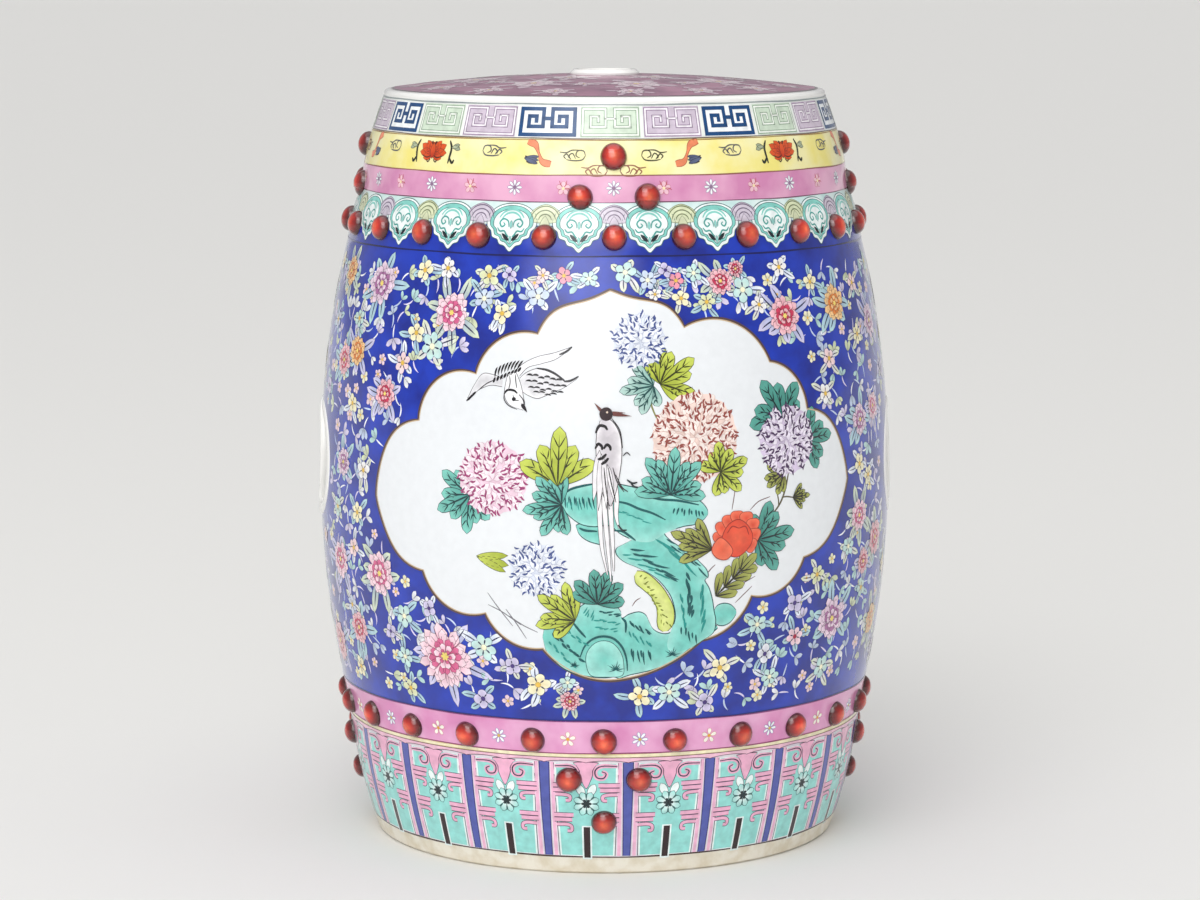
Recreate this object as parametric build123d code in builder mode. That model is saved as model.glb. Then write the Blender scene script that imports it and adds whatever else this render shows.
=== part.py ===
"""Porcelain garden stool: a hollow barrel, open underneath, with a domed seat and round bosses.

The barrel is luted from three thrown wall sections and a seat slab. A pierced medallion shaped like two
linked coins fills the finger opening at each side, and one coin fills the hole in the seat.
Millimetres, +Z up, floor at z = 0, barrel axis on Z, front towards -Y, finger openings towards +X and -X.
"""

import os
from math import sqrt

from build123d import *

# Height over the seat's coin, and heights of the bands of the wall, from the floor up; the belly takes the rest
stool_height = 466.0
base_height = 73.0
stud_band_height = 23.0
lappet_height = 30.5
neck_height = 36.0
fret_height = 20.0

# Outer radius of the wall at the ends of the bands, and halfway up the bowed ones
# The base stands in from its top by insets, the stud band widens by its flare, and the belly is widest a little
# below its middle
base_top_radius = 157.7
foot_inset = 17.0
base_bow_inset = 6.2
stud_band_flare = 4.3
belly_radius = 174.5
belly_widest_drop = 18.75
belly_top_radius = 156.5
lappet_bow_radius = 153.6
lappet_top_radius = 148.0
neck_bow_radius = 145.7
neck_top_radius = 141.0
mouth_radius = 134.0

# Wall, foot and seat
wall = 9.5
foot_bevel = 1.5
seat_thickness = 12.0
seat_edge = 3.0
seat_edge_round = 2.4
seat_rise = 9.0
seat_clearance = 0.3

# Pierced coin in the seat
seat_coin_radius = 21.0
seat_coin_proud = 3.0
seat_coin_bevel = 2.0
seat_coin_rim = 4.5
seat_coin_sink = 1.2
cash_waist = 8.0

# Linked coins in the finger openings, a little above the belly's middle
coin_lift = 1.25
coin_radius = 36.0
coin_ring = 8.0
coin_spread = 15.0
coin_proud = 1.8

# Round bosses
stud_radius = 7.7
stud_rise = 6.0
studs_in_row = 24
stud_sides = 4
upper_row_lift = 11.0
upper_pair_lift = 3.2
upper_single_lift = 26.0
lower_row_lift = 10.4
lower_pair_drop = 13.2
lower_single_drop = 39.4
lower_turn = -2.2

front = -90.0
straight_limit = 0.001

# Levels, from the top down to the belly and from the floor up to it
crown = stool_height - seat_coin_proud
mouth_height = crown - seat_rise - seat_edge
neck_top = mouth_height - fret_height
lappet_top = neck_top - neck_height
belly_top = lappet_top - lappet_height
base_top = base_height
stud_band_top = base_top + stud_band_height
belly_middle = (stud_band_top + belly_top) / 2
coin_height = belly_middle + coin_lift

# Outline of each band: its lower end, the point it bows through and its upper end, as radius and height
foot_radius = base_top_radius - foot_inset
stud_band_top_radius = base_top_radius + stud_band_flare
base_band = (
    (foot_radius, 0.0),
    (base_top_radius - base_bow_inset, base_height / 2),
    (base_top_radius, base_top),
)
stud_band = (
    (base_top_radius, base_top),
    ((base_top_radius + stud_band_top_radius) / 2, (base_top + stud_band_top) / 2),
    (stud_band_top_radius, stud_band_top),
)
belly_band = (
    (stud_band_top_radius, stud_band_top),
    (belly_radius, belly_middle - belly_widest_drop),
    (belly_top_radius, belly_top),
)
lappet_band = (
    (belly_top_radius, belly_top),
    (lappet_bow_radius, belly_top + lappet_height / 2),
    (lappet_top_radius, lappet_top),
)
neck_band = (
    (lappet_top_radius, lappet_top),
    (neck_bow_radius, lappet_top + neck_height / 2),
    (neck_top_radius, neck_top),
)
fret_band = (
    (neck_top_radius, neck_top),
    ((neck_top_radius + mouth_radius) / 2, (neck_top + mouth_height) / 2),
    (mouth_radius, mouth_height),
)
all_bands = (base_band, stud_band, belly_band, lappet_band, neck_band, fret_band)


def band_edge(band, inset=0.0):
    """Outline of one band, moved inwards by inset: an arc, or a line where the band is straight."""
    low, bow, high = [(radius - inset, height) for radius, height in band]
    bow_area = (bow[0] - low[0]) * (high[1] - low[1]) - (high[0] - low[0]) * (bow[1] - low[1])
    if abs(bow_area) < straight_limit:
        return Line(low, high)
    return ThreePointArc(low, bow, high)


def wall_section(bands, inner_inset, outer_inset=0.0):
    """Closed section of the wall through the given bands, between two insets, clear of the finger openings."""
    (foot_r, foot_z), (head_r, head_z) = bands[0][0], bands[-1][2]
    with BuildSketch(Plane.YZ) as section:
        with BuildLine():
            for band in bands:
                band_edge(band, outer_inset)
                band_edge(band, inner_inset)
            Line((foot_r - outer_inset, foot_z), (foot_r - inner_inset, foot_z))
            Line((head_r - outer_inset, head_z), (head_r - inner_inset, head_z))
        make_face()
    return section.sketch


def wall_normal(height):
    """Point on the outside of the wall at this height, towards +X, and the wall's outward direction."""
    band = next(b for b in all_bands if b[0][1] <= height <= b[2][1])
    edge = band_edge(band)
    spot = edge.find_intersection_points(Axis((0, height, 0), (1, 0, 0)))[0]
    along = edge.tangent_at(spot)
    return Vector(spot.X, 0, spot.Y), Vector(abs(along.Y), 0, -along.X if along.Y > 0 else along.X)


def dome_drop(radius):
    """How far the seat's dome has fallen at this distance from its crown."""
    sphere = (mouth_radius**2 + seat_rise**2) / (2 * seat_rise)
    return sphere - sqrt(sphere**2 - radius**2)


# Solid barrel, used only to trim what is luted on the outside of the wall
with BuildPart() as barrel:
    with BuildSketch(Plane.XZ):
        with BuildLine():
            for band in all_bands:
                band_edge(band)
            Polyline((foot_radius, 0), (0, 0), (0, mouth_height), (mouth_radius, mouth_height))
        make_face()
    revolve(axis=Axis.Z)

# Foot section, with the bevelled foot rim that the stool stands on
with BuildPart() as base_wall:
    revolve(wall_section((base_band, stud_band), wall), axis=Axis.Z)
    chamfer(base_wall.edges().group_by(Axis.Z)[0], foot_bevel)

# Outline of the two linked coins, and the three openings between their rings, seen along X
coin_plane = Plane(origin=(0, 0, coin_height), x_dir=(0, 1, 0), z_dir=(1, 0, 0))
coin_reach = belly_radius + wall

with BuildSketch(coin_plane) as coin_outline:
    with Locations((-coin_spread, 0), (coin_spread, 0)):
        Circle(coin_radius)

with BuildSketch() as coin_ring_face:
    Circle(coin_radius)
    Circle(coin_radius - coin_ring, mode=Mode.SUBTRACT)

with BuildSketch(coin_plane) as coin_openings:
    with Locations((-coin_spread, 0), (coin_spread, 0)):
        Circle(coin_radius - coin_ring)
    with Locations((-coin_spread, 0), (coin_spread, 0)):
        add(coin_ring_face.sketch, mode=Mode.SUBTRACT)

# Middle section, cut through at both sides for the coins
with BuildPart() as belly_wall:
    revolve(wall_section((belly_band,), wall), axis=Axis.Z)
    for reach in (coin_reach, -coin_reach):
        extrude(coin_outline.sketch, amount=reach, mode=Mode.SUBTRACT)

# Upper section
with BuildPart() as shoulder_wall:
    revolve(wall_section((lappet_band, neck_band, fret_band), wall), axis=Axis.Z)

# Linked coins: as thick as the wall and a little proud of it, pierced between the rings
with BuildPart() as right_coin:
    revolve(wall_section((belly_band,), wall, -coin_proud), axis=Axis.Z)
    extrude(coin_outline.sketch, amount=coin_reach, mode=Mode.INTERSECT)
    extrude(coin_openings.sketch, amount=coin_reach, mode=Mode.SUBTRACT)

with BuildPart() as left_coin:
    mirror(right_coin.part, about=Plane.YZ)

# Seat: an even dome with a rounded edge, whose underside drops into the mouth of the shoulder
seat_edge_top = mouth_height + seat_edge
spigot_radius = mouth_radius - wall - seat_clearance
under_crown = crown - seat_thickness

with BuildPart() as seat_slab:
    with BuildSketch(Plane.XZ):
        with BuildLine():
            TangentArc((0, crown), (mouth_radius, seat_edge_top), tangent=(1, 0))
            Polyline(
                (mouth_radius, seat_edge_top),
                (mouth_radius, mouth_height),
                (spigot_radius, mouth_height),
                (spigot_radius, under_crown - dome_drop(spigot_radius)),
            )
            TangentArc(
                (0, under_crown),
                (spigot_radius, under_crown - dome_drop(spigot_radius)),
                tangent=(1, 0),
            )
            Line((0, under_crown), (0, crown))
        make_face()
    revolve(axis=Axis.Z)
    rim_edges = seat_slab.edges().filter_by(lambda edge: edge.is_closed).group_by(SortBy.RADIUS)[-1]
    fillet(rim_edges.sort_by(Axis.Z)[-1], seat_edge_round)
    with BuildSketch(Plane.XY):
        Circle(seat_coin_radius)
    extrude(amount=crown, mode=Mode.SUBTRACT)

# Coin in the seat: a bevelled disc with a sunk field and a square opening whose sides curve inwards
coin_field_radius = seat_coin_radius - seat_coin_rim
cash_corner = Vector(coin_field_radius, 0).rotate(Axis.Z, -45)
cash_side = Vector(cash_waist, 0)

with BuildPart() as seat_coin:
    with BuildSketch(Plane.XZ):
        with BuildLine():
            Polyline(
                (0, under_crown),
                (0, stool_height),
                (seat_coin_radius - seat_coin_bevel, stool_height),
                (seat_coin_radius, stool_height - seat_coin_bevel),
                (seat_coin_radius, under_crown - dome_drop(seat_coin_radius)),
            )
            TangentArc(
                (0, under_crown),
                (seat_coin_radius, under_crown - dome_drop(seat_coin_radius)),
                tangent=(1, 0),
            )
        make_face()
    revolve(axis=Axis.Z)
    with BuildSketch(Plane.XY.offset(stool_height - seat_coin_sink)):
        Circle(coin_field_radius)
    extrude(amount=seat_coin_sink, mode=Mode.SUBTRACT)
    with BuildSketch(Plane.XY):
        with BuildLine():
            for quarter in (0, 90, 180, 270):
                ThreePointArc(
                    cash_corner.rotate(Axis.Z, quarter),
                    cash_side.rotate(Axis.Z, quarter),
                    cash_corner.rotate(Axis.Z, quarter + 90),
                )
        make_face()
    extrude(amount=stool_height, mode=Mode.SUBTRACT)


def stud_at(height):
    """One round boss on the outside of the wall at this height, towards +X, shaped to the wall below."""
    seat, outward = wall_normal(height)
    with BuildPart() as stud:
        with BuildSketch(Plane(origin=seat, x_dir=outward, z_dir=(0, -1, 0))):
            with BuildLine():
                TangentArc((stud_rise, 0), (0, stud_radius), tangent=(0, 1))
                Polyline((0, stud_radius), (-stud_rise, stud_radius), (-stud_rise, 0), (stud_rise, 0))
            make_face()
        revolve(axis=Axis(seat, outward))
        add(barrel.part, mode=Mode.SUBTRACT)
    return stud.part


half_pitch = 180.0 / studs_in_row

upper_row_stud = stud_at(belly_top + upper_row_lift)
upper_pair_stud = stud_at(lappet_top + upper_pair_lift)
upper_single_stud = stud_at(lappet_top + upper_single_lift)
lower_row_stud = stud_at(base_top + lower_row_lift)
lower_pair_stud = stud_at(base_top - lower_pair_drop)
lower_single_stud = stud_at(base_top - lower_single_drop)

with BuildPart() as upper_stud_row:
    with PolarLocations(0, studs_in_row, front):
        add(upper_row_stud)

with BuildPart() as upper_stud_pairs:
    for side in (-half_pitch, half_pitch):
        with PolarLocations(0, stud_sides, front + side):
            add(upper_pair_stud)

with BuildPart() as upper_stud_singles:
    with PolarLocations(0, stud_sides, front):
        add(upper_single_stud)

with BuildPart() as lower_stud_row:
    with PolarLocations(0, studs_in_row, front + lower_turn):
        add(lower_row_stud)

with BuildPart() as lower_stud_pairs:
    for side in (-half_pitch, half_pitch):
        with PolarLocations(0, stud_sides, front + lower_turn + side):
            add(lower_pair_stud)

with BuildPart() as lower_stud_singles:
    with PolarLocations(0, stud_sides, front + lower_turn):
        add(lower_single_stud)

pieces = {
    "base_wall": base_wall,
    "belly_wall": belly_wall,
    "shoulder_wall": shoulder_wall,
    "seat_slab": seat_slab,
    "seat_coin": seat_coin,
    "left_coin": left_coin,
    "right_coin": right_coin,
    "upper_stud_row": upper_stud_row,
    "upper_stud_pairs": upper_stud_pairs,
    "upper_stud_singles": upper_stud_singles,
    "lower_stud_row": lower_stud_row,
    "lower_stud_pairs": lower_stud_pairs,
    "lower_stud_singles": lower_stud_singles,
}
os.makedirs("parts", exist_ok=True)
for name, piece in pieces.items():
    piece.part.label = name
    export_step(piece.part, f"parts/{name}.step")
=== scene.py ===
"""Painted porcelain garden stool: the fired body comes from the frame, the enamels are laid over it here.

Every painted mark is a thin raised sheet of enamel on the wall. Painting coordinates are millimetres to the
right and up from a mark's anchor, and an anchor is an angle from the front, in degrees, and a height, in mm.
"""

import bmesh
import bpy
import numpy as np
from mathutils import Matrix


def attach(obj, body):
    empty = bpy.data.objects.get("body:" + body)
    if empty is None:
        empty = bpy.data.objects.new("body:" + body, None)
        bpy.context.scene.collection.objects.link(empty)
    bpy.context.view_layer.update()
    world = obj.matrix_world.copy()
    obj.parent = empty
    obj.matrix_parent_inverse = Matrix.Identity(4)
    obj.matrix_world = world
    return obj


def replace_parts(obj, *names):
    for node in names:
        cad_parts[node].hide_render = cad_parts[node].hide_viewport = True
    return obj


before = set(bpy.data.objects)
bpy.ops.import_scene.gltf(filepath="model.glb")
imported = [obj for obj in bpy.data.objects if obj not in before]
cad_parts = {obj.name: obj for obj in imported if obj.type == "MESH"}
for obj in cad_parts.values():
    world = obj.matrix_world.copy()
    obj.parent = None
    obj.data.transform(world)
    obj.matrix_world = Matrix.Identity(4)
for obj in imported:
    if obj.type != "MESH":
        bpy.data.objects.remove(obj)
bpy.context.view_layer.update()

chance = np.random.default_rng(21)

# Outline of the wall, in mm: for each band its lower end, the point it bows through and its upper end
WALL_BANDS = (
    ((140.7, 0.0), (151.5, 36.5), (157.7, 73.0)),
    ((157.7, 73.0), (159.85, 84.5), (162.0, 96.0)),
    ((162.0, 96.0), (174.5, 211.5), (156.5, 364.5)),
    ((156.5, 364.5), (153.6, 379.75), (148.0, 395.0)),
    ((148.0, 395.0), (145.7, 413.0), (141.0, 431.0)),
    ((141.0, 431.0), (137.5, 441.0), (134.0, 451.0)),
)
# Seat, in mm: heights of its edge and its middle, and radii of its edge, its mauve field and its coin
SEAT_EDGE_TOP, SEAT_CROWN, SEAT_RADIUS, SEAT_FIELD, SEAT_COIN = 454.0, 463.0, 134.0, 129.5, 21.0
# Paint, in mm: lifts of the grounds, field leaves, reserves and lowest marks, and thickness of a layer
GROUND_LIFT, LEAF_LIFT, PANEL_LIFT, MARK_LIFT, LAYER = 0.10, 0.14, 0.19, 0.22, 0.03
# Bosses and wall, in mm, and heights between which the flowers of the blue field stay
BOSS_RADIUS, BOSS_RISE, WALL_THICK = 7.7, 6.0, 9.5
FIELD_FOOT, FIELD_TOP = 97.5, 363.0
# Camera: turn from the front and pitch, distance from the axis and height in mm, and lens in picture widths
TURN, PITCH, DISTANCE, EYE, LENS = np.radians(-2.05), 0.137, 2270.0, 545.0, 3716 / 1200


def colour(red, green, blue):
    """Scene colour of a display colour given in steps of 255."""
    shown = np.array((red, green, blue)) / 255
    return np.where(shown < 0.04045, shown / 12.92, ((shown + 0.055) / 1.055) ** 2.4)


INK = colour(40, 28, 38)
WHITE = colour(246, 245, 243)
GOLDEN_ANGLE = 2.39996


def band_radius(band, heights):
    """Radius of the wall at these heights, on the circle through the band's three points, or on its line."""
    (r0, z0), (r1, z1), (r2, z2) = band
    bow = 2 * ((r1 - r0) * (z2 - z0) - (r2 - r0) * (z1 - z0))
    if abs(bow) < 1e-6:
        return np.interp(heights, (z0, z2), (r0, r2))
    first = r1**2 - r0**2 + z1**2 - z0**2
    second = r2**2 - r0**2 + z2**2 - z0**2
    centre_r = (first * (z2 - z0) - second * (z1 - z0)) / bow
    centre_z = ((r1 - r0) * second - (r2 - r0) * first) / bow
    return centre_r + np.sqrt(np.hypot(r0 - centre_r, z0 - centre_z) ** 2 - (heights - centre_z) ** 2)


STEPS = np.linspace(0, 451, 1805)
RADII = np.select([STEPS <= b[2][1] for b in WALL_BANDS],
                  [band_radius(b, STEPS.clip(b[0][1], b[2][1])) for b in WALL_BANDS])
SLOPES = np.gradient(RADII, STEPS)


def radius_at(height):
    """Radius of the wall in mm at a height."""
    return np.interp(height, STEPS, RADII)


def slope_at(height):
    """Growth of the wall's radius with the height, at a height."""
    return np.interp(height, STEPS, SLOPES)


def heading(angle):
    """Unit vectors that point at these angles, counted from the right."""
    return np.stack((np.cos(angle), np.sin(angle)), -1)


def over(layers):
    """Lift in mm of a mark that lies so many layers of enamel above the lowest marks."""
    return MARK_LIFT + layers * LAYER


def mirrored(side, points):
    """Points with their distance to the right multiplied by side, which is 1 or -1."""
    return [(side * x, y) for x, y in points]


def raised(turn, height, lift):
    """Points in mm at a turn about the axis and a height, moved by lift along the wall's normal."""
    slope = slope_at(height)
    reach = radius_at(height) + lift / np.hypot(1, slope)
    level = height - lift * slope / np.hypot(1, slope)
    return np.stack((reach * np.sin(turn), -reach * np.cos(turn), level), -1)


def on_wall(spots, at, lift):
    """Points in metres of spots painted on the wall: right of the anchor is an angle about the axis, up of
    it is a length along the wall, and lift is along the wall's normal."""
    angle, height = (np.asarray(v, float).reshape(-1, 1, 1) for v in at)
    turn = np.radians(angle) + spots[..., 0] / radius_at(height)
    up = height + spots[..., 1] / np.hypot(1, slope_at(height))
    return raised(turn, up, lift) / 1000


def on_seat(spots, at, lift):
    """Points in metres of spots painted on the seat's dome, a sphere's cap; an anchor is its X and Y."""
    rise = SEAT_CROWN - SEAT_EDGE_TOP
    sphere = (SEAT_RADIUS**2 + rise**2) / (2 * rise)
    right, back = (spots[..., k] + np.asarray(at[k], float).reshape(-1, 1, 1) for k in (0, 1))
    level = SEAT_CROWN - sphere + np.sqrt(sphere**2 - right**2 - back**2) + lift
    return np.stack((right, back, level), -1) / 1000


# Marks: each sheet is a batch of grids of spots, with rows running up and columns to the right


def spread(value, full, depth):
    """A value given per batch, per stroke, per row or per spot, spread over every spot."""
    value = np.asarray(value, float)
    lead = value.ndim - depth
    shape = value.shape[:lead] + (1,) * (3 - lead) + value.shape[lead:]
    return np.broadcast_to(value.reshape(shape), full + value.shape[lead:])


def sheet(spots, at, fill, ink=INK, inside=1.0, lift=0.0):
    """A batch of strokes; inside is the distance in mm from the inner side of a stroke's inked outline."""
    full = spots.shape[:3]
    return {"spots": spots, "at": at, "fill": spread(fill, full, 1), "ink": spread(ink, full, 1),
            "inside": spread(inside, full, 0), "lift": spread(lift, full, 0)}


def strips(spine, half, at, fill, ink=INK, line=-1.0, lift=MARK_LIFT, columns=3):
    """Strokes along spines: each row is a spine point widened to both sides by half, square to the spine."""
    along = np.gradient(spine, axis=1)
    along = along / np.linalg.norm(along, axis=-1, keepdims=True).clip(1e-9)
    right = np.stack((along[..., 1], -along[..., 0]), -1)
    across = np.linspace(-1, 1, columns)
    half = np.broadcast_to(half, spine.shape[:2])
    spots = spine[:, :, None] + across[:, None] * half[..., None, None] * right[:, :, None]
    return sheet(spots, at, fill, ink, half[..., None] * (1 - abs(across)) - line, lift)


def blades(base, aim, length, width, at, fill, tip=None, ink=INK, line=0.2, bend=0.0, full=0.55,
           lift=MARK_LIFT, rows=7, columns=3):
    """Petals and leaves: a spine leaves base towards aim, turning by bend on the way, and its width swells as
    s to the power 1.5 full times (1 - s) to the power 1.5 (1 - full), scaled to reach width."""
    base = np.atleast_2d(base)
    count = max(len(base), *(np.size(v) for v in (aim, length, width, bend)))
    base = np.broadcast_to(base, (count, 2))
    aim, length, width, bend = (np.broadcast_to(v, count)[:, None] for v in (aim, length, width, bend))
    s = np.linspace(0, 1, rows)
    spine = base[:, None] + (length * s)[..., None] * heading(aim + bend * s / 2)
    swell = s ** (1.5 * full) * (1 - s) ** (1.5 - 1.5 * full)
    peak = full ** (1.5 * full) * (1 - full) ** (1.5 - 1.5 * full)
    fill = np.asarray(fill, float)
    tip = fill if tip is None else np.asarray(tip, float)
    if fill.ndim < 2:
        fill, tip = np.atleast_2d(fill), np.atleast_2d(tip)
    shade = np.broadcast_to(fill, (count, 3))[:, None] * (1 - s[:, None])
    shade = shade + np.broadcast_to(tip, (count, 3))[:, None] * s[:, None]
    return strips(spine, width / 2 * (0.03 + 0.97 * swell / peak), at, shade, ink, line, lift, columns)


def discs(centre, shape, at, fill, ink=INK, line=0.2, lift=MARK_LIFT, rings=4, steps=24, heart=None):
    """Round marks: the outline's radius is shape(turn), with turn running clockwise, and rings shrink it
    towards the centre. The fill goes over to heart at the centre."""
    centre = np.atleast_2d(centre)
    turn = np.linspace(2 * np.pi, 0, steps + 1)
    radius = np.broadcast_to(shape(turn), (len(centre), steps + 1))[:, None]
    reach = np.linspace(0, 1, rings)[:, None]
    spots = centre[:, None, None] + (reach * radius)[..., None] * heading(turn)
    inside = (1 - reach) * radius - line
    fill = np.broadcast_to(fill, (len(centre), 3))[:, None]
    if heart is not None:
        fill = fill * reach + np.broadcast_to(heart, (len(centre), 3))[:, None] * (1 - reach)
    return sheet(spots, at, fill, ink, inside, lift)


def patches(outline, at, fill, ink=INK, line=0.25, lift=MARK_LIFT, rings=5, centre=None, heart=None):
    """Filled outlines: each ring shrinks the closed outline, which runs clockwise, towards its centre."""
    outline = np.asarray(outline, float)
    centre = outline.mean(axis=1) if centre is None else np.atleast_2d(centre)
    reach = np.linspace(0, 1, rings)[:, None, None]
    away = outline[:, None] - centre[:, None, None]
    spots = centre[:, None, None] + reach * away
    inside = (1 - reach[..., 0]) * np.linalg.norm(away, axis=-1) * 0.8 - line
    fill = np.broadcast_to(fill, (len(outline), 3))[:, None]
    if heart is not None:
        heart = np.broadcast_to(heart, (len(outline), 3))[:, None]
        fill = fill * reach[..., 0] + heart * (1 - reach[..., 0])
    return sheet(spots, at, fill, ink, inside, lift)


def through(points, count, closed=False):
    """Smooth curve through points: on each span the cubic whose end slopes are half the chords beside it."""
    points = np.asarray(points, float)
    before = np.roll(points, 1, axis=0)
    after = np.roll(points, -1, axis=0)
    slopes = (after - before) / 2
    if not closed:
        slopes[0], slopes[-1] = points[1] - points[0], points[-1] - points[-2]
    spans = len(points) if closed else len(points) - 1
    place = np.linspace(0, spans, count)
    span = np.minimum(place.astype(int), spans - 1)
    s = (place - span)[:, None]
    start, end = points[span], points[(span + 1) % len(points)]
    lean, settle = slopes[span], slopes[(span + 1) % len(points)]
    return ((1 + 2 * s) * (1 - s) ** 2 * start + s**2 * (3 - 2 * s) * end
            + s * (1 - s) ** 2 * lean + s**2 * (s - 1) * settle)


def lines(curves, width, at, fill, count=12, lift=MARK_LIFT, taper=0.5):
    """Brush lines through the given points, full in the middle and thinned by taper towards both ends."""
    spines = np.stack([through(c, count) for c in curves])
    s = np.linspace(0, 1, count)
    half = width / 2 * (1 - taper * abs(2 * s - 1) ** 3)
    return strips(spines, np.broadcast_to(half, spines.shape[:2]), at, fill, lift=lift)


def quads(strokes, rows, columns, start):
    """Corners of the quads of a batch of grids whose spots are numbered row by row from start."""
    corner = (np.arange(strokes)[:, None, None] * rows * columns
              + np.arange(rows - 1)[:, None] * columns + np.arange(columns - 1))
    return start + np.stack((corner, corner + 1, corner + columns + 1, corner + columns), -1).reshape(-1, 4)


def cells(sheets):
    """Texture cells: every batch gets shelves of equal cells as large as its largest stroke, scaled alike
    to fill the unit square. Returns the lower left corner of each stroke's cell and the cell's size, batch
    by batch."""
    margin = 0.0025
    sizes = []
    for s in sheets:
        across = np.linalg.norm(np.diff(s["spots"], axis=2), axis=-1).sum(axis=2).max()
        along = np.linalg.norm(np.diff(s["spots"], axis=1), axis=-1).sum(axis=1).max()
        sizes.append((across, along, len(s["spots"])))
    sizes = np.array(sizes)
    low, high = 1e-6, 1.0
    for _ in range(40):
        scale = (low + high) / 2
        wide, tall = sizes[:, 0] * scale + margin, sizes[:, 1] * scale + margin
        shelf = np.floor(1 / wide)
        fits = shelf.min() >= 1 and (np.ceil(sizes[:, 2] / shelf.clip(1)) * tall).sum() <= 1
        low, high = (scale, high) if fits else (low, scale)
    wide, tall = sizes[:, 0] * low + margin, sizes[:, 1] * low + margin
    shelf = np.floor(1 / wide).astype(int)
    floors = np.cumsum(np.r_[0, np.ceil(sizes[:, 2] / shelf) * tall])
    placed = []
    for count, most, w, t, level in zip(sizes[:, 2].astype(int), shelf, wide, tall, floors):
        n = np.arange(count)
        corner = np.stack((n % most * w, level + n // most * t), -1) + margin / 2
        placed.append((corner, (w - margin, t - margin)))
    return placed


def surface(name, material, points, faces, chart, attributes=None):
    """Mesh object of whole arrays: points in metres, quads, and a texture chart and attributes per point."""
    mesh = bpy.data.meshes.new(name)
    mesh.from_pydata(points, [], faces)
    corners = np.empty(len(mesh.loops), int)
    mesh.loops.foreach_get("vertex_index", corners)
    mesh.uv_layers.new(name="OFBake").uv.foreach_set("vector", chart[corners].astype(np.float32).ravel())
    for key, values in (attributes or {}).items():
        if values.ndim == 2:
            rgba = np.concatenate((values, np.ones((len(values), 1))), axis=1).astype(np.float32)
            mesh.attributes.new(key, "FLOAT_COLOR", "POINT").data.foreach_set("color", rgba.ravel())
        else:
            mesh.attributes.new(key, "FLOAT", "POINT").data.foreach_set("value", values.astype(np.float32))
    mesh.polygons.foreach_set("use_smooth", np.ones(len(mesh.polygons), bool))
    mesh.materials.append(material)
    work = bmesh.new()
    work.from_mesh(mesh)
    bmesh.ops.remove_doubles(work, verts=work.verts, dist=1e-7)
    work.to_mesh(mesh)
    work.free()
    piece = bpy.data.objects.new(name, mesh)
    bpy.context.scene.collection.objects.link(piece)
    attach(piece, "root")
    return piece


def painted(name, sheets, material, place=on_wall):
    """One piece made of all the strokes in sheets."""
    points, faces, charts, start = [], [], [], 0
    for s, (corner, size) in zip(sheets, cells(sheets)):
        strokes, rows, columns = s["spots"].shape[:3]
        points.append(place(s["spots"], s["at"], s["lift"]).reshape(-1, 3))
        faces.append(quads(strokes, rows, columns, start))
        grid = np.stack(np.meshgrid(np.linspace(0, 1, columns), np.linspace(0, 1, rows)), -1) * size
        charts.append((corner[:, None, None] + grid).reshape(-1, 2))
        start += strokes * rows * columns
    marks = {key: np.concatenate([s[key].reshape(-1, 3) for s in sheets]) for key in ("fill", "ink")}
    marks["inside"] = np.concatenate([s["inside"].ravel() for s in sheets])
    return surface(name, material, np.concatenate(points), np.concatenate(faces),
                   np.concatenate(charts), marks)


# Materials


def plain(name, tint, roughness, coat=0.0):
    """Principled material with constant values; returns it with its nodes and links for more."""
    material = bpy.data.materials.new(name)
    material.use_nodes = True
    tree = material.node_tree
    shader = tree.nodes["Principled BSDF"]
    shader.inputs["Base Color"].default_value = (*tint, 1)
    shader.inputs["Roughness"].default_value = roughness
    shader.inputs["Coat Weight"].default_value = coat
    shader.inputs["Coat Roughness"].default_value = 0.12
    return material, tree, shader


def cloudy(tree, size, detail=3.0):
    """Noise in object space, with features about size mm across."""
    place = tree.nodes.new("ShaderNodeTexCoord")
    noise = tree.nodes.new("ShaderNodeTexNoise")
    noise.inputs["Scale"].default_value = 1000 / size
    noise.inputs["Detail"].default_value = detail
    tree.links.new(place.outputs["Object"], noise.inputs["Vector"])
    return noise.outputs["Fac"]


def ramp(tree, value, *stops):
    """Colour ramp through (position, colour) stops."""
    node = tree.nodes.new("ShaderNodeValToRGB")
    while len(node.color_ramp.elements) < len(stops):
        node.color_ramp.elements.new(0.5)
    for element, (position, tint) in zip(node.color_ramp.elements, stops):
        element.position = position
        element.color = (*tint, 1)
    tree.links.new(value, node.inputs["Fac"])
    return node.outputs["Color"]


def ripple(tree, shader, size, depth):
    """Uneven glaze: low bumps about size mm across and depth mm deep."""
    bump = tree.nodes.new("ShaderNodeBump")
    bump.inputs["Strength"].default_value = 1.0
    bump.inputs["Distance"].default_value = depth / 1000
    tree.links.new(cloudy(tree, size, 2.0), bump.inputs["Height"])
    tree.links.new(bump.outputs["Normal"], shader.inputs["Normal"])


def mixed(tree, mode, factor, first, second):
    """Colour mix node; factor, first and second are sockets or constant values."""
    node = tree.nodes.new("ShaderNodeMix")
    node.data_type, node.blend_type = "RGBA", mode
    for socket, value in ((node.inputs[0], factor), (node.inputs[6], first), (node.inputs[7], second)):
        if isinstance(value, bpy.types.NodeSocket):
            tree.links.new(value, socket)
        else:
            socket.default_value = value
    return node.outputs[2]


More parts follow.
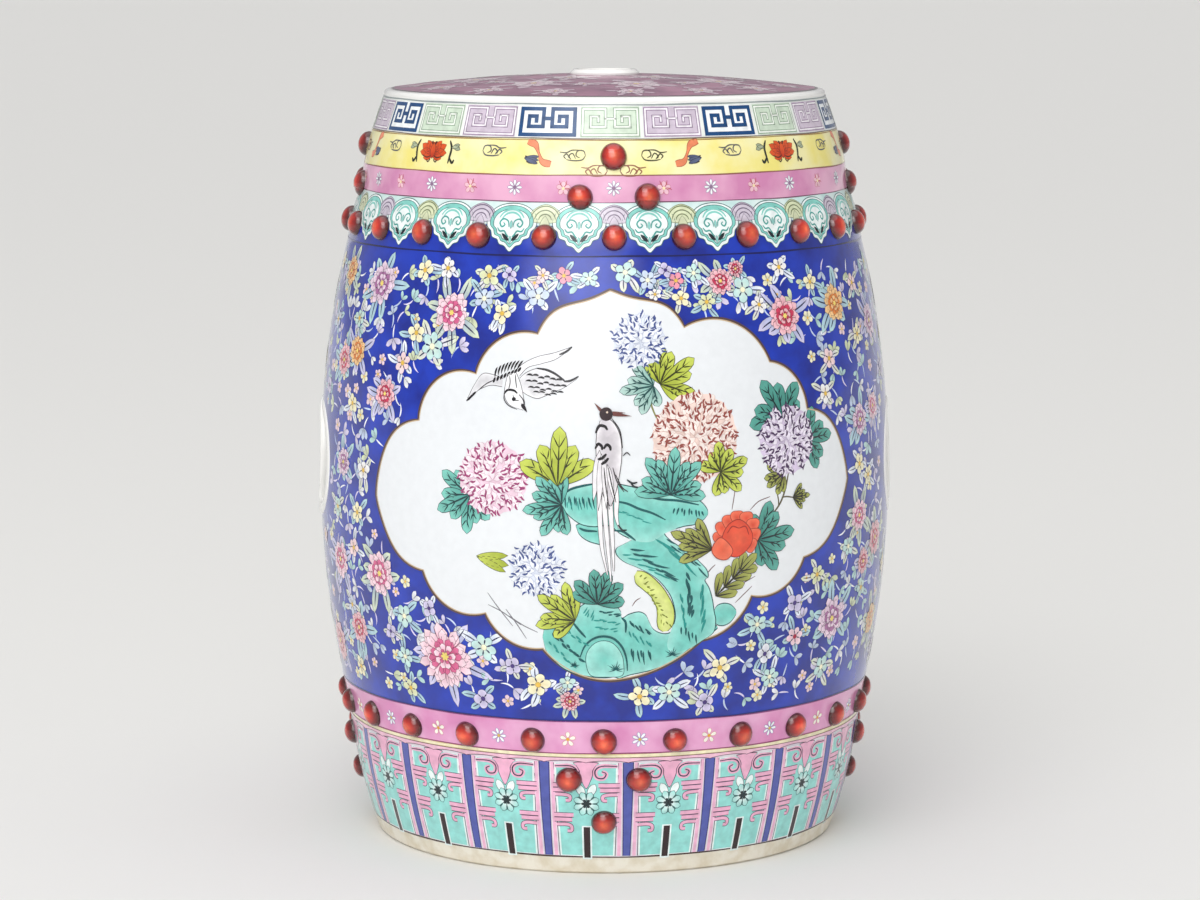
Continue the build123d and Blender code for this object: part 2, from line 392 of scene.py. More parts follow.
def enamel(name, roughness=0.16, coat=0.3, grain=0.12):
    """Painted enamel: the ink attribute where inside is below nought, else the fill, with slight clouding."""
    material, tree, shader = plain(name, (0.5, 0.5, 0.5), roughness, coat)
    parts = {}
    for key in ("fill", "ink", "inside"):
        parts[key] = tree.nodes.new("ShaderNodeAttribute")
        parts[key].attribute_name = key
    edge = tree.nodes.new("ShaderNodeMapRange")
    edge.inputs["From Min"].default_value = -0.05
    edge.inputs["From Max"].default_value = 0.05
    tree.links.new(parts["inside"].outputs["Fac"], edge.inputs["Value"])
    ink, fill = (parts[key].outputs["Color"] for key in ("ink", "fill"))
    shade = mixed(tree, "MIX", edge.outputs["Result"], ink, fill)
    clouds = ramp(tree, cloudy(tree, 5), (0.3, (1 - grain,) * 3), (0.7, (1 + grain,) * 3))
    shade = mixed(tree, "MULTIPLY", 1.0, shade, clouds)
    tree.links.new(shade, shader.inputs["Base Color"])
    return material


def wash(name, pale, deep, size, roughness=0.14, coat=0.4, wave=0.02):
    """Ground enamel brushed on unevenly, between a pale and a deep tint, over a slightly rippled glaze."""
    material, tree, shader = plain(name, pale, roughness, coat)
    broad = cloudy(tree, size, 4.0)
    tree.links.new(ramp(tree, broad, (0.36, deep), (0.64, pale)), shader.inputs["Base Color"])
    ripple(tree, shader, 14, wave)
    return material


# Fired body

porcelain, _tree, _shader = plain("porcelain", colour(244, 243, 240), 0.14, 0.4)
ripple(_tree, _shader, 16, 0.02)
biscuit, _tree, _shader = plain("biscuit_foot", colour(236, 228, 210), 0.5)
_tree.links.new(ramp(_tree, cloudy(_tree, 9, 5.0), (0.32, colour(222, 211, 188)),
                     (0.6, colour(240, 234, 220))), _shader.inputs["Base Color"])
for node, finish in (("base_wall", biscuit), ("belly_wall", porcelain), ("shoulder_wall", porcelain),
                     ("seat_slab", porcelain), ("seat_coin", porcelain)):
    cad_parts[node].data.materials.clear()
    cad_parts[node].data.materials.append(finish)

paint = enamel("painted_enamel")


# Grounds


def ground(name, material, low, high, rows, around=360, hole=None):
    """Band of enamel round the wall between two heights: a grid of angles and heights, without the quads
    whose middle is inside the hole."""
    angle, height = np.meshgrid(np.linspace(-180, 180, around + 1), np.linspace(low, high, rows + 1))
    points = raised(np.radians(angle), height, GROUND_LIFT).reshape(-1, 3)
    chart = np.stack(((angle + 180) / 360, (height - low) / (high - low)), -1)
    faces = quads(1, rows + 1, around + 1, 0)
    if hole is not None:
        faces = faces[~hole(points[faces].mean(axis=1))]
    return surface(name, material, points / 1000, faces, chart.reshape(-1, 2))


COIN_HEIGHT, COIN_SPREAD, COIN_RADIUS, COIN_RING, COIN_PROUD = 231.5, 15.0, 36.0, 8.0, 1.8


def behind_coins(points):
    """True for points on the wall that lie behind the linked coins of the finger openings."""
    across = np.hypot(abs(points[:, 1]) - COIN_SPREAD, points[:, 2] - COIN_HEIGHT)
    return (across < COIN_RADIUS - 3) & (abs(points[:, 0]) > 100)


blue = wash("blue_ground", colour(16, 55, 184), colour(7, 33, 140), 22, 0.12, 0.5, 0.03)
ground("blue_field", blue, 95.5, 382, 144, 480, hole=behind_coins)
# Other grounds: piece, material, pale and deep tint, size of clouds, lower and upper height in mm, rows
for name, material, pale, deep, clouds, low, high, rows in (
        ("base_field", "base_ground", (236, 232, 236), (222, 214, 226), 18, 11, 73, 31),
        ("lower_pink_band", "pink_ground", (238, 176, 214), (222, 140, 190), 26, 75.6, 95.6, 12),
        ("lower_yellow_strip", "yellow_strip", (246, 236, 190), (238, 216, 150), 12, 72.6, 75.8, 3),
        ("lappet_field", "lappet_ground", (226, 240, 238), (196, 226, 224), 14, 381.8, 395, 8),
        ("upper_pink_band", "upper_pink", (236, 178, 208), (214, 138, 182), 30, 394.9, 410.3, 9),
        ("yellow_band", "yellow_ground", (250, 244, 190), (246, 232, 130), 26, 410.3, 430.8, 11),
        ("fret_field", "fret_ground", (242, 244, 240), (228, 234, 228), 18, 430.8, 451, 11)):
    ground(name, wash(material, colour(*pale), colour(*deep), clouds), low, high, rows)


def seat_field():
    """Mauve enamel over the seat: rings from the coin out to the white edge, on the dome's cap."""
    turn = np.linspace(0, 2 * np.pi, 181)
    out = np.linspace(SEAT_FIELD, SEAT_COIN, 53)[:, None]
    spots = out[..., None] * heading(turn)[None, None]
    points = on_seat(spots, (0, 0), GROUND_LIFT).reshape(-1, 3)
    mauve = wash("mauve_ground", colour(170, 112, 140), colour(124, 70, 102), 24, 0.3, 0.15)
    chart = (spots.reshape(-1, 2) / SEAT_FIELD + 1) / 2
    surface("seat_field", mauve, points, quads(1, 53, 181, 0), chart)


seat_field()

# Bosses and linked coins


def boss_sheet(angles, height):
    """Domed bosses: lift is the root of 1 - s squared over a disc, each a little out of round, with
    a painted highlight of orange at the apex and darker at its edge, partly where the glaze pools and
    partly as painted shade."""
    angles = np.asarray(angles, float)
    s = np.sin(np.linspace(0, np.pi / 2, 10))[:, None]
    turn = np.linspace(2 * np.pi, 0, 33)
    lean = chance.uniform(0, 6.3, (len(angles), 1, 1))
    size = chance.uniform(0.96, 1.03, (len(angles), 1, 1))
    radius = BOSS_RADIUS * size * (1 + 0.025 * np.sin(2 * turn + lean))
    spots = (s * radius)[..., None] * heading(turn)
    dome = BOSS_RISE * np.sqrt(1 - s**2) - 0.25 * s**8
    tone = np.interp(s[:, 0], (0, 0.45, 0.8, 1), (0, 1, 2, 3))
    # Tints from the apex out: a painted orange highlight, the red, then a dark rim that is partly pooled
    # glaze and partly painted shade
    apex_highlight_to_rim_shade = np.array((colour(236, 106, 66), colour(198, 46, 30), colour(126, 16, 16), colour(54, 6, 8)))
    fill = np.stack([np.interp(tone, range(4), apex_highlight_to_rim_shade[:, k]) for k in range(3)], -1)
    fill = fill * chance.uniform(0.8, 1.15, (len(angles), 1, 1))
    return sheet(spots, (angles, np.full(len(angles), height)), fill, lift=dome * np.ones_like(radius))


red = enamel("red_boss_glaze", 0.07, 0.8, 0.25)
around = np.arange(24) * 15.0
sides = np.arange(4) * 90.0
pairs = np.concatenate((sides - 7.5, sides + 7.5))
LOWER_TURN = -2.2
for node, angles, height in (
        ("upper_stud_row", around, 375.5),
        ("upper_stud_pairs", pairs, 398.2),
        ("upper_stud_singles", sides, 421.0),
        ("lower_stud_row", around + LOWER_TURN, 83.4),
        ("lower_stud_pairs", pairs + LOWER_TURN, 59.8),
        ("lower_stud_singles", sides + LOWER_TURN, 33.6)):
    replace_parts(painted(node.replace("stud", "boss"), [boss_sheet(angles, height)], red), node)


def coin_sheet(angle):
    """Two linked rings: a rounded section carried along each circle, as deep as the wall, rising over the
    other ring at one crossing and dipping at the other."""
    turn = np.linspace(2 * np.pi, 0, 121)[None, :, None]
    lap = np.linspace(0, 2 * np.pi, 25)
    wide = np.sign(np.cos(lap)) * abs(np.cos(lap)) ** 0.45
    deep = np.sign(np.sin(lap)) * abs(np.sin(lap)) ** 0.45
    side = np.array((-1, 1)).reshape(2, 1, 1)
    reach = COIN_RADIUS - COIN_RING / 2 - wide * COIN_RING / 2
    spots = np.stack((side * COIN_SPREAD + reach * np.cos(turn), reach * np.sin(turn) + 0 * side), -1)
    crossing = np.arccos(COIN_SPREAD / (COIN_RADIUS - COIN_RING / 2))
    from_link = np.angle(np.exp(1j * np.where(side < 0, turn, np.pi - turn)))
    weave = np.exp(-(((from_link - crossing) / 0.4) ** 2)) - np.exp(-(((from_link + crossing) / 0.4) ** 2))
    lift = (COIN_PROUD - WALL_THICK + deep * (COIN_PROUD + WALL_THICK)) / 2 - 0.9 * (1 + side * weave)
    return sheet(spots, (np.full(2, angle), np.full(2, COIN_HEIGHT)), WHITE, lift=lift)


for node, angle in (("right_coin", 90.0), ("left_coin", -90.0)):
    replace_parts(painted(node.replace("coin", "linked_coins"), [coin_sheet(angle)],
                        porcelain), node)

# Borders of the shoulder and the base


def rings(height, width, fill):
    """Brush line right round the wall at a height, wavering a little in height and width."""
    turn = np.linspace(-np.pi, np.pi, 361)
    rows = np.linspace(-0.5, 0.5, 3)[:, None]
    level = 0.15 * (np.sin(7 * turn + height) + 0.6 * np.sin(17 * turn + 2 * height))
    level = level + rows * width * (1 + 0.2 * np.sin(11 * turn + height))
    spots = np.stack(np.broadcast_arrays(turn * radius_at(height), level), -1)[None]
    return sheet(spots, (0, height), fill, lift=MARK_LIFT)


def bars(ends, width, at, fill, ink=INK, line=-1.0, lift=MARK_LIFT, rows=5):
    """Straight strokes of even width; ends holds their two end points, lengthened by half the width."""
    ends = np.asarray(ends, float)
    way = ends[:, 1] - ends[:, 0]
    reach = way / np.linalg.norm(way, axis=-1, keepdims=True) * width / 2
    s = np.linspace(0, 1, rows)[:, None]
    spine = (ends[:, :1] - reach[:, None]) * (1 - s) + (ends[:, 1:] + reach[:, None]) * s
    return strips(spine, np.full(spine.shape[:2], width / 2), at, fill, ink, line, lift)


def repeat(make, angles, height):
    """Sheets of one motif drawn at many angles, stacked; make(at) returns the sheets for one anchor."""
    keys = ("spots", "fill", "ink", "inside", "lift")
    many = []
    for s in make((0.0, height)):
        count = len(s["spots"])
        copy = {key: np.concatenate([s[key]] * len(angles)) for key in keys}
        shift = np.broadcast_to(np.asarray(s["at"][0], float).ravel(), count)
        level = np.broadcast_to(np.asarray(s["at"][1], float).ravel(), count)
        copy["at"] = (np.concatenate([a + shift for a in angles]), np.concatenate([level] * len(angles)))
        many.append(copy)
    return many


def key_cell(tint, key, ink, width):
    """Fret cell: a plate, a frame open at the top and, in each half, a square spiral hanging from it, the
    two linked in the middle; drawn on 13 by 7 steps, each bar over a wider bar of ink."""
    turns = ((0, 0), (0, 7), (5.4, 7), (5.4, 2.2), (1.9, 2.2), (1.9, 5.0), (3.7, 5.0), (3.7, 3.7))
    half = np.array(list(zip(turns[:-1], turns[1:])), float) - (6.5, 0)
    link = [((-6.5, 0), (6.5, 0)), ((-1.1, 4.4), (1.1, 4.4))]
    ends = np.concatenate((half, half * (-1, 1), link)) * (2.42, 2.2) + (0, -7.6)
    upright = np.stack((np.zeros(5), np.linspace(-9.1, 9.4, 5)), -1)[None]

    def make(at):
        """Plate, ink and bars of the cell at an anchor."""
        plate = strips(upright, np.full((1, 5), 17.0), at, tint, lift=over(-1), columns=15)
        under = bars(ends, width + 0.9, at, ink, rows=13)
        return [plate, under, bars(ends, width, at, key, lift=over(1), rows=13)]
    return make


FRET_TURN, FRET_HEIGHT = -0.7, 440.3
third = FRET_TURN + np.arange(8) * 45.0
NAVY = colour(20, 70, 122)
fret = []
for place, (plate, key, ink, width) in enumerate((
        (colour(204, 220, 200), colour(240, 245, 236), colour(130, 156, 130), 1.0),
        (colour(206, 192, 208), colour(244, 238, 244), colour(138, 114, 144), 1.0),
        (colour(244, 248, 250), NAVY, NAVY, 1.4))):
    fret += repeat(key_cell(plate, key, ink, width), third + 15 * place, FRET_HEIGHT)
fret += [rings(431.0, 0.7, colour(120, 105, 95)), rings(450.2, 0.8, colour(140, 150, 150))]
painted("key_fret", fret, paint)


def petal_ring(count, reach, width, at, fill, tip=None, ink=INK, line=0.2, start=0.0, turn=0.0,
               lift=MARK_LIFT, centre=(0, 0)):
    """Petals round a centre, from start out to reach."""
    aim = turn + np.arange(count) * 2 * np.pi / count
    base = np.asarray(centre) + start * heading(aim)
    return blades(base, aim, reach - start, width, at, fill, tip, ink, line, full=0.62, lift=lift)


def dot(radius, at, fill, centre=(0, 0), lift=MARK_LIFT, ink=INK, line=-1.0, steps=16):
    """Round dots of one radius."""
    return discs(centre, lambda turn: np.full_like(turn, radius), at, fill, ink, line, lift, 3, steps)


def bat(at):
    """Bat of the yellow band: wings with scalloped fingers, a body and two ears, between dark ribbons."""
    orange, deep, dark = colour(226, 92, 34), colour(186, 44, 20), colour(70, 40, 24)
    marks = []
    for side in (1, -1):
        aims = np.pi / 2 - side * np.radians((14, 38, 62, 86, 112))
        bones = (((0, -1.5), (4, -3.4), (8.4, -2.2)), ((1.2, -4.4), (3, -6), (4.6, -4.6)))
        ribbons = (((12.5, 7), (14.4, 2), (13.0, -6.5)), ((13.6, -3), (16, -6), (17.4, -4.2)))
        leaf_aims = (0.35, -0.35) if side > 0 else (2.8, 3.5)
        marks.append(blades((0, -1), aims, (7.6, 9.6, 11.6, 11.0, 8.0), 5.4, at, deep, orange, dark, 0.22,
                            full=0.5))
        marks.append(lines([mirrored(side, b) for b in bones], 0.7, at, dark, lift=over(1)))
        marks.append(lines([mirrored(side, r) for r in ribbons], 1.5, at, colour(50, 54, 42)))
        marks.append(blades(mirrored(side, ((14.4, 2.6), (15, 4))), leaf_aims, 6.4, 3.0, at,
                            colour(196, 204, 168), colour(150, 164, 140), colour(62, 70, 54), 0.3))
    marks.append(blades((0, -4.2), np.pi / 2, 9.5, 4.2, at, deep, orange, dark, 0.22, lift=over(2)))
    marks.append(blades([(-1, 4), (1, 4)], (1.9, 1.24), 2.6, 1.1, at, dark, lift=over(1)))
    return marks


def tassel(side):
    """Coral ribbon falling towards one side, with a grey tasselled scroll beside it."""
    def make(at):
        """Ribbon, cords and tassel at an anchor."""
        coral, rust, grey = colour(236, 138, 96), colour(160, 60, 34), colour(96, 108, 138)
        ribbon = mirrored(side, ((-7, 7), (-2.4, 5.4), (0, 0.6), (2.6, -4.6), (7.5, -6)))
        swell = 1.5 + 0.7 * np.sin(np.linspace(0, 9, 22))
        cords = (((-8, -1.4), (-5, -2.6), (-1.6, -4)), ((-7, -4.6), (-4, -5.4), (-0.4, -5.2)))
        aims = np.pi / 2 - side * np.radians((84, 98, 112))
        return [strips(through(ribbon, 22)[None], swell[None], at, coral, rust, 0.3),
                lines([mirrored(side, c) for c in cords], 1.2, at, colour(60, 52, 44)),
                blades([(-8.5 * side, -2.6)] * 3, aims, 9, 2.6, at, grey, colour(70, 78, 108),
                       colour(40, 40, 60), 0.25, lift=over(1 + 0.3 * np.arange(3)[:, None, None]))]
    return make


def wisp(side, tint):
    """Small curling cloud: a tail, and three loops drawn with a fine brush."""
    def make(at):
        """Curls of the cloud at an anchor."""
        curls = (((8, 1.6), (4, 1.2), (1, 2.6), (-3, 2.8)),
                 ((-7, -0.6), (-6, 2.2), (-2.6, 2.4), (-1.6, -0.4), (-3.8, -1.8)),
                 ((-1.4, -2.2), (0.4, 0.8), (2.4, -0.6), (1.2, -2.6)),
                 ((2.2, -2.2), (3.6, 0.4), (5.4, -0.8), (4.2, -2.4)),
                 ((-7, -0.6), (-5, -3), (0, -3.4), (4, -2.8)))
        return [lines([mirrored(side, c) for c in curls], 0.8, at, tint)]
    return make


dark_olive = colour(78, 76, 52)
sprigs = repeat(bat, sides + 44.0, 421.6)
for side in (1, -1):
    sprigs += repeat(tassel(-side), sides + side * 17.3, 422.4)
    sprigs += repeat(wisp(side, dark_olive), sides + side * 9.2, 422.0)
    sprigs += repeat(wisp(-side, colour(90, 92, 96)), sides + side * 28.5, 424.0)
    sprigs += repeat(wisp(side, colour(150, 96, 70)), sides + side * 4.2, 413.4)
sprigs += [rings(410.4, 0.7, colour(150, 96, 84)), rings(430.2, 0.5, colour(160, 120, 60))]
painted("yellow_border", sprigs, paint)


def daisy(count, reach, fill, ink, heart, spin=0.0):
    """Small daisy of even petals round a dot."""
    def make(at):
        """Petals and heart at an anchor."""
        width = reach * 2.5 / count + 0.35
        return [petal_ring(count, reach, width, at, fill, ink=ink, line=0.22, start=0.7, turn=spin),
                dot(1.0, at, heart, lift=over(1))]
    return make


def cup(at):
    """Reddish half-open blossom of the pink band: five outlined petals and a few stamens."""
    red = colour(196, 92, 104)
    stamens = [((0, 0), (1.6, 2.4), (2, 4.6)), ((0, 0), (-1.6, 2.4), (-2.4, 4.4)),
               ((0, 0), (3, 0), (4.8, -1))]
    return [petal_ring(5, 4.2, 3.0, at, colour(240, 196, 210), ink=red, line=0.28, turn=0.3),
            lines(stamens, 0.5, at, red, lift=over(1)),
            dot(0.9, at, colour(250, 230, 180), lift=over(2))]


sixteenths = np.arange(16) * 22.5
pale_daisy = daisy(8, 4.6, colour(250, 250, 252), colour(108, 108, 150), colour(150, 120, 150))
pink_marks = (repeat(pale_daisy, sixteenths, 403.2)
              + repeat(cup, sixteenths[sixteenths % 90 != 11.25] + 11.25, 403.0))
pink_marks.append(rings(395.1, 0.6, colour(120, 80, 100)))
painted("pink_border", pink_marks, paint)


def lappet(at):
    """Ruyi head pointing down: nested outlines, curls, dark wedges, and arcs over the crown."""
    teal, pale, dark = colour(132, 206, 196), colour(238, 246, 245), colour(42, 92, 92)
    half = [(0, -15.6), (3.4, -12.4), (6.6, -11.2), (8.2, -8.4), (11.4, -7), (12.6, -3.4), (15.2, -0.6),
            (15.4, 4.2), (12.6, 9), (7, 12.2), (0, 13.2)]
    outer = through(half[::-1] + mirrored(-1, half[1:-1]), 97, closed=True) * (-1, 1)
    marks = [patches(outer[None], at, pale, dark, 0.4, MARK_LIFT, centre=(0, 1)),
             patches((outer * 0.86 + (0, 0.5))[None], at, teal, dark, 0.3, over(1), centre=(0, 1)),
             patches((outer * 0.72 + (0, 0.2))[None], at, pale, dark, 0.3, over(2), centre=(0, 1))]
    arcs = [[(r * np.sin(a), 1.2 + r * np.cos(a)) for a in np.linspace(-1.15, 1.15, 7)] for r in (8.2, 6.4)]
    marks.append(lines(arcs, 1.15, at, teal, 18, over(3)))
    curls, wedges = [], []
    for side in (1, -1):
        curls.append(mirrored(side, ((1.2, -1), (2, 2.6), (5, 3.8), (7, 1.6), (5.6, -0.8), (3.8, 0.4),
                                     (4.8, 1.7))))
        curls.append(mirrored(side, ((8.2, -1.4), (6.6, -3.4), (4, -3.2), (2.4, -5.4), (1, -6.8))))
        wedges.append((side * 5.2, -4.6))
    marks.append(lines(curls, 0.95, at, colour(70, 160, 152), 20, over(4)))
    marks.append(blades(wedges, (-2.35, -0.79), 6.2, 2.2, at, colour(26, 40, 46), lift=over(4), line=-1))
    marks.append(blades([(0, -2), (0, -6)], (np.pi / 2, -np.pi / 2), (5.0, 4.6), 1.8, at,
                        colour(150, 214, 206), ink=dark, line=0.22, lift=over(4)))
    return marks


def trefoil(tint, ink):
    """Half-round finial over a boss: a fan of arcs on a stem."""
    def make(at):
        """Half disc, arcs and stem at an anchor."""
        fans = [[(r * np.sin(a), -3 + r * np.cos(a)) for a in np.linspace(-1.45, 1.45, 9)]
                for r in (8.6, 6.2, 3.8)]
        half = through([(-9.4, -3), (-7.6, 3.2), (0, 6.8), (7.6, 3.2), (9.4, -3), (0, -4.6)], 61, closed=True)
        return [patches(half[None], at, tint, ink, 0.3, MARK_LIFT, centre=(0, 0)),
                lines(fans, 0.7, at, ink, 18, over(1)),
                blades((0, -12), np.pi / 2, 12, 6.4, at, tint, ink=ink, line=0.3, full=0.4, lift=over(2))]
    return make


lappets = repeat(lappet, around + 7.5, 381.6)
for first, tint, ink in ((0, colour(208, 198, 212), colour(110, 96, 120)),
                         (15, colour(216, 222, 186), colour(110, 124, 84))):
    lappets += repeat(trefoil(tint, ink), np.arange(12) * 30.0 + first, 387.5)
painted("lappet_border", lappets, paint)
field_lines = [rings(364.9, 0.9, colour(10, 18, 84)), rings(96.0, 0.8, colour(20, 26, 100))]
painted("field_lines", field_lines, paint)

lower = around + LOWER_TURN + 7.5
blue_daisy = daisy(7, 4.8, colour(250, 250, 252), colour(70, 100, 176), colour(214, 180, 90))
red_daisy = daisy(5, 4.8, colour(252, 248, 236), colour(206, 96, 70), colour(230, 170, 60), 0.3)
lower_marks = repeat(blue_daisy, lower[::2], 84.6) + repeat(red_daisy, lower[1::2], 84.6)
lower_marks += [rings(76.0, 0.7, colour(150, 70, 110)), rings(95.4, 0.6, colour(150, 70, 130))]
painted("lower_pink_border", lower_marks, paint)

# Base panels


def base_panel(at):
    """Panel of the base: a turquoise ground with a white and a dark edge, pink comb marks and hooks let in
    from both sides, a pink drop between two volutes at the top, a dark blossom and a slit between legs."""
    turquoise, pale, pink = colour(150, 221, 214), colour(238, 250, 248), colour(238, 176, 204)
    dark, maroon = colour(58, 44, 66), colour(42, 10, 18)
    low, high = -30.0, 29.5
    spine = np.stack((np.zeros(9), np.linspace(low, high, 9)), -1)[None]
    edge = np.linspace(17.2, 18.6, 9)[None]
    marks = [strips(spine, edge, at, pale, dark, 0.45, MARK_LIFT, 9),
             strips(spine * (1, 0.985), edge - 1.3, at, turquoise, pale, 0.2, over(1), 9),
             bars([((0, low + 0.8), (0, -13.2))], 5.9, at, pale, lift=over(2)),
             bars([((0, low + 0.8), (0, -13))], 3.9, at, maroon, colour(20, 30, 30), 0.5, over(3))]
    combs, hooks, volutes = [], [], []
    for side in (1, -1):
        for level, inner in ((-3.4, 9.2), (-6.4, 10.1), (15.6, 8.6), (12.6, 9.5)):
            combs.append(mirrored(side, ((17.6, level), (inner, level))))
        hooks.append(mirrored(side, ((18, -9.6), (12, -9.4), (9.2, -10.6), (9.2, -13.4), (11.6, -13.6))))
        hooks.append(mirrored(side, ((18, 9.8), (12.4, 9.6), (9.6, 8.6), (9.8, 6.2), (12, 6.0))))
        volutes.append(mirrored(side, ((17.8, 27.6), (9, 27.8), (5.2, 25), (6, 20.8), (9.8, 20.2),
                                       (11.4, 23), (9, 24.4))))
    marks.append(bars(combs, 3.1, at, pink, dark, 0.36, over(2)))
    hook = np.stack([through(h, 16) for h in hooks])
    marks.append(strips(hook, 1.3 * np.ones(hook.shape[:2]), at, pink, dark, 0.36, over(3)))
    marks.append(lines(volutes, 2.9, at, pink, 24, over(3), 0.3))
    marks.append(lines(volutes, 0.8, at, dark, 24, over(4), 0.3))
    drop = through([(0, 13.4), (-2.5, 18), (-3.9, 22), (-4.1, 25), (-5.6, 28), (-7, 30), (0, 30.6), (7, 30),
                    (5.6, 28), (4.1, 25), (3.9, 22), (2.5, 18)], 61, closed=True)
    marks.append(patches(drop[None], at, pink, dark, 0.4, over(4), centre=(0, 25)))
    marks.append(blades([(-1, 8), (1, 8)], np.radians((116, 64)), 9.5, 5.0, at, pale, ink=dark, line=0.3,
                        lift=over(3)))
    marks.append(petal_ring(8, 8.0, 4.3, at, pale, turquoise, colour(30, 70, 72), 0.42, 1.2, 0.39, over(4),
                            (0, 4)))
    marks.append(petal_ring(8, 6.6, 1.1, at, colour(52, 104, 102), ink=INK, line=-1, start=3.0, centre=(0, 4),
                            lift=over(5)))
    marks.append(petal_ring(6, 3.1, 1.7, at, colour(24, 44, 48), ink=INK, line=-1, centre=(0, 4),
                            lift=over(6)))
    return marks


def base_stripe(at):
    """Stripe between base panels: violet blue, with a pink and a white line on either side."""
    spine = np.stack((np.zeros(9), np.linspace(-30, 30, 9)), -1)[None]
    edge = np.linspace(2.5, 3.2, 9)[None]
    rails = np.concatenate([spine + (x, 0) for x in (-4.7, 4.7)])
    return [strips(spine, edge, at, colour(80, 90, 170), colour(52, 48, 112), 0.6, MARK_LIFT),
            strips(rails, 1.35 * np.ones((2, 9)), at, colour(240, 184, 212), colour(250, 232, 242), 0.3,
                   MARK_LIFT)]


def scallops():
    """Pink edge over the base panels, straight above and hanging in two humps a panel below."""
    turn = np.linspace(-np.pi, np.pi, 1081)
    hump = abs(np.sin(20 * (turn - np.radians(3.0)))) ** 0.7
    rows = np.linspace(0, 1, 5)[:, None]
    level = (1 - rows) * (70.2 + 1.3 * hump) + rows * 73.6
    spots = np.stack(np.broadcast_arrays(turn * 157.0, level - 71.0), -1)[None]
    inside = (73.6 - 70.2 - 1.3 * hump) * (0.5 - abs(rows - 0.5)) - 0.35
    return sheet(spots, (0, 71.0), colour(240, 190, 210), colour(96, 50, 70), inside[None], over(5))


twentieths = np.arange(20) * 18.0
base_marks = repeat(base_panel, twentieths - 6.0, 41.2) + repeat(base_stripe, twentieths + 3.0, 41.2)
painted("base_panels", base_marks, paint)
base_lines = [rings(11.2, 0.9, colour(70, 48, 44)), rings(74.6, 1.6, colour(248, 238, 200))]
painted("base_edge", [scallops()] + base_lines, paint)

# White reserve on the front and the back


def arc_between(start, end, bulge, hook, count):
    """Circular arc from start to end whose middle stands off the chord by bulge of the chord's length, to
    the left, with a full wave of hook of that length added across it."""
    start, end = np.array(start, float), np.array(end, float)
    s = np.linspace(0, 1, count, endpoint=False)[:, None]
    chord = end - start
    left = np.array((-chord[1], chord[0]))
    half_turn = 2 * np.arctan(2 * bulge)
    swing = (2 * s - 1) * half_turn
    across = np.sin(swing) / np.sin(half_turn)
    off = (np.cos(swing) - np.cos(half_turn)) / (2 * np.sin(half_turn)) + hook * np.sin(2 * np.pi * s)
    return (start + end) / 2 + across * chord / 2 + off * left


PANEL_CENTRE = 233.0
degree = np.radians(1) * radius_at(PANEL_CENTRE)
# Cusps of the reserve from the top round by the right, each with bulge and hook of the edge to the next
cusps = ((-0.9, 346.6, 0.10, -0.045), (14.0, 325.2, 0.22, 0), (32.5, 303.1, 0.18, 0),
         (41.3, 273.9, 0.18, 0.02), (53.2, 228.9, 0.15, -0.02), (40.1, 186.7, 0.19, 0),
         (27.6, 167.4, 0.14, 0), (17.2, 143.1, 0.08, 0), (-0.2, 120.6, 0.12, 0), (-14.2, 139.0, 0.17, 0),
         (-25.8, 158.4, 0.21, 0), (-39.7, 180.2, 0.16, 0.02), (-52.3, 220.5, 0.19, -0.02),
         (-40.8, 268.4, 0.25, 0), (-28.0, 297.6, 0.21, 0), (-15.4, 321.5, 0.10, 0.045))
panel_outline = np.concatenate([
    arc_between((a * degree, h - PANEL_CENTRE), (b * degree, k - PANEL_CENTRE), bulge, hook, 24)
    for (a, h, bulge, hook), (b, k, _, _) in zip(cusps, cusps[1:] + cusps[:1])])
panel_outline = np.concatenate((panel_outline, panel_outline[:1]))
panel_faces = np.array((0.0, 180.0))


def reserve():
    """White ground of both reserves, with a gilt and a brown line along the edge."""
    both = np.broadcast_to(panel_outline, (2, *panel_outline.shape))
    at = (panel_faces, np.full(2, PANEL_CENTRE))
    white = colour(235, 238, 241)
    marks = [patches(both, at, white, white, -1, PANEL_LIFT, 48, centre=[(0, 0)] * 2)]
    edge = np.full(both.shape[:2], 0.75)
    marks.append(strips(both, edge, at, colour(84, 62, 58), lift=MARK_LIFT))
    marks.append(strips(both * 0.992, edge * 0.45, at, colour(204, 176, 142), lift=over(1)))
    return marks


white_paint = enamel("reserve_glaze", 0.12, 0.4, 0.02)
painted("white_reserve", reserve(), white_paint)

# Flowers and leaves


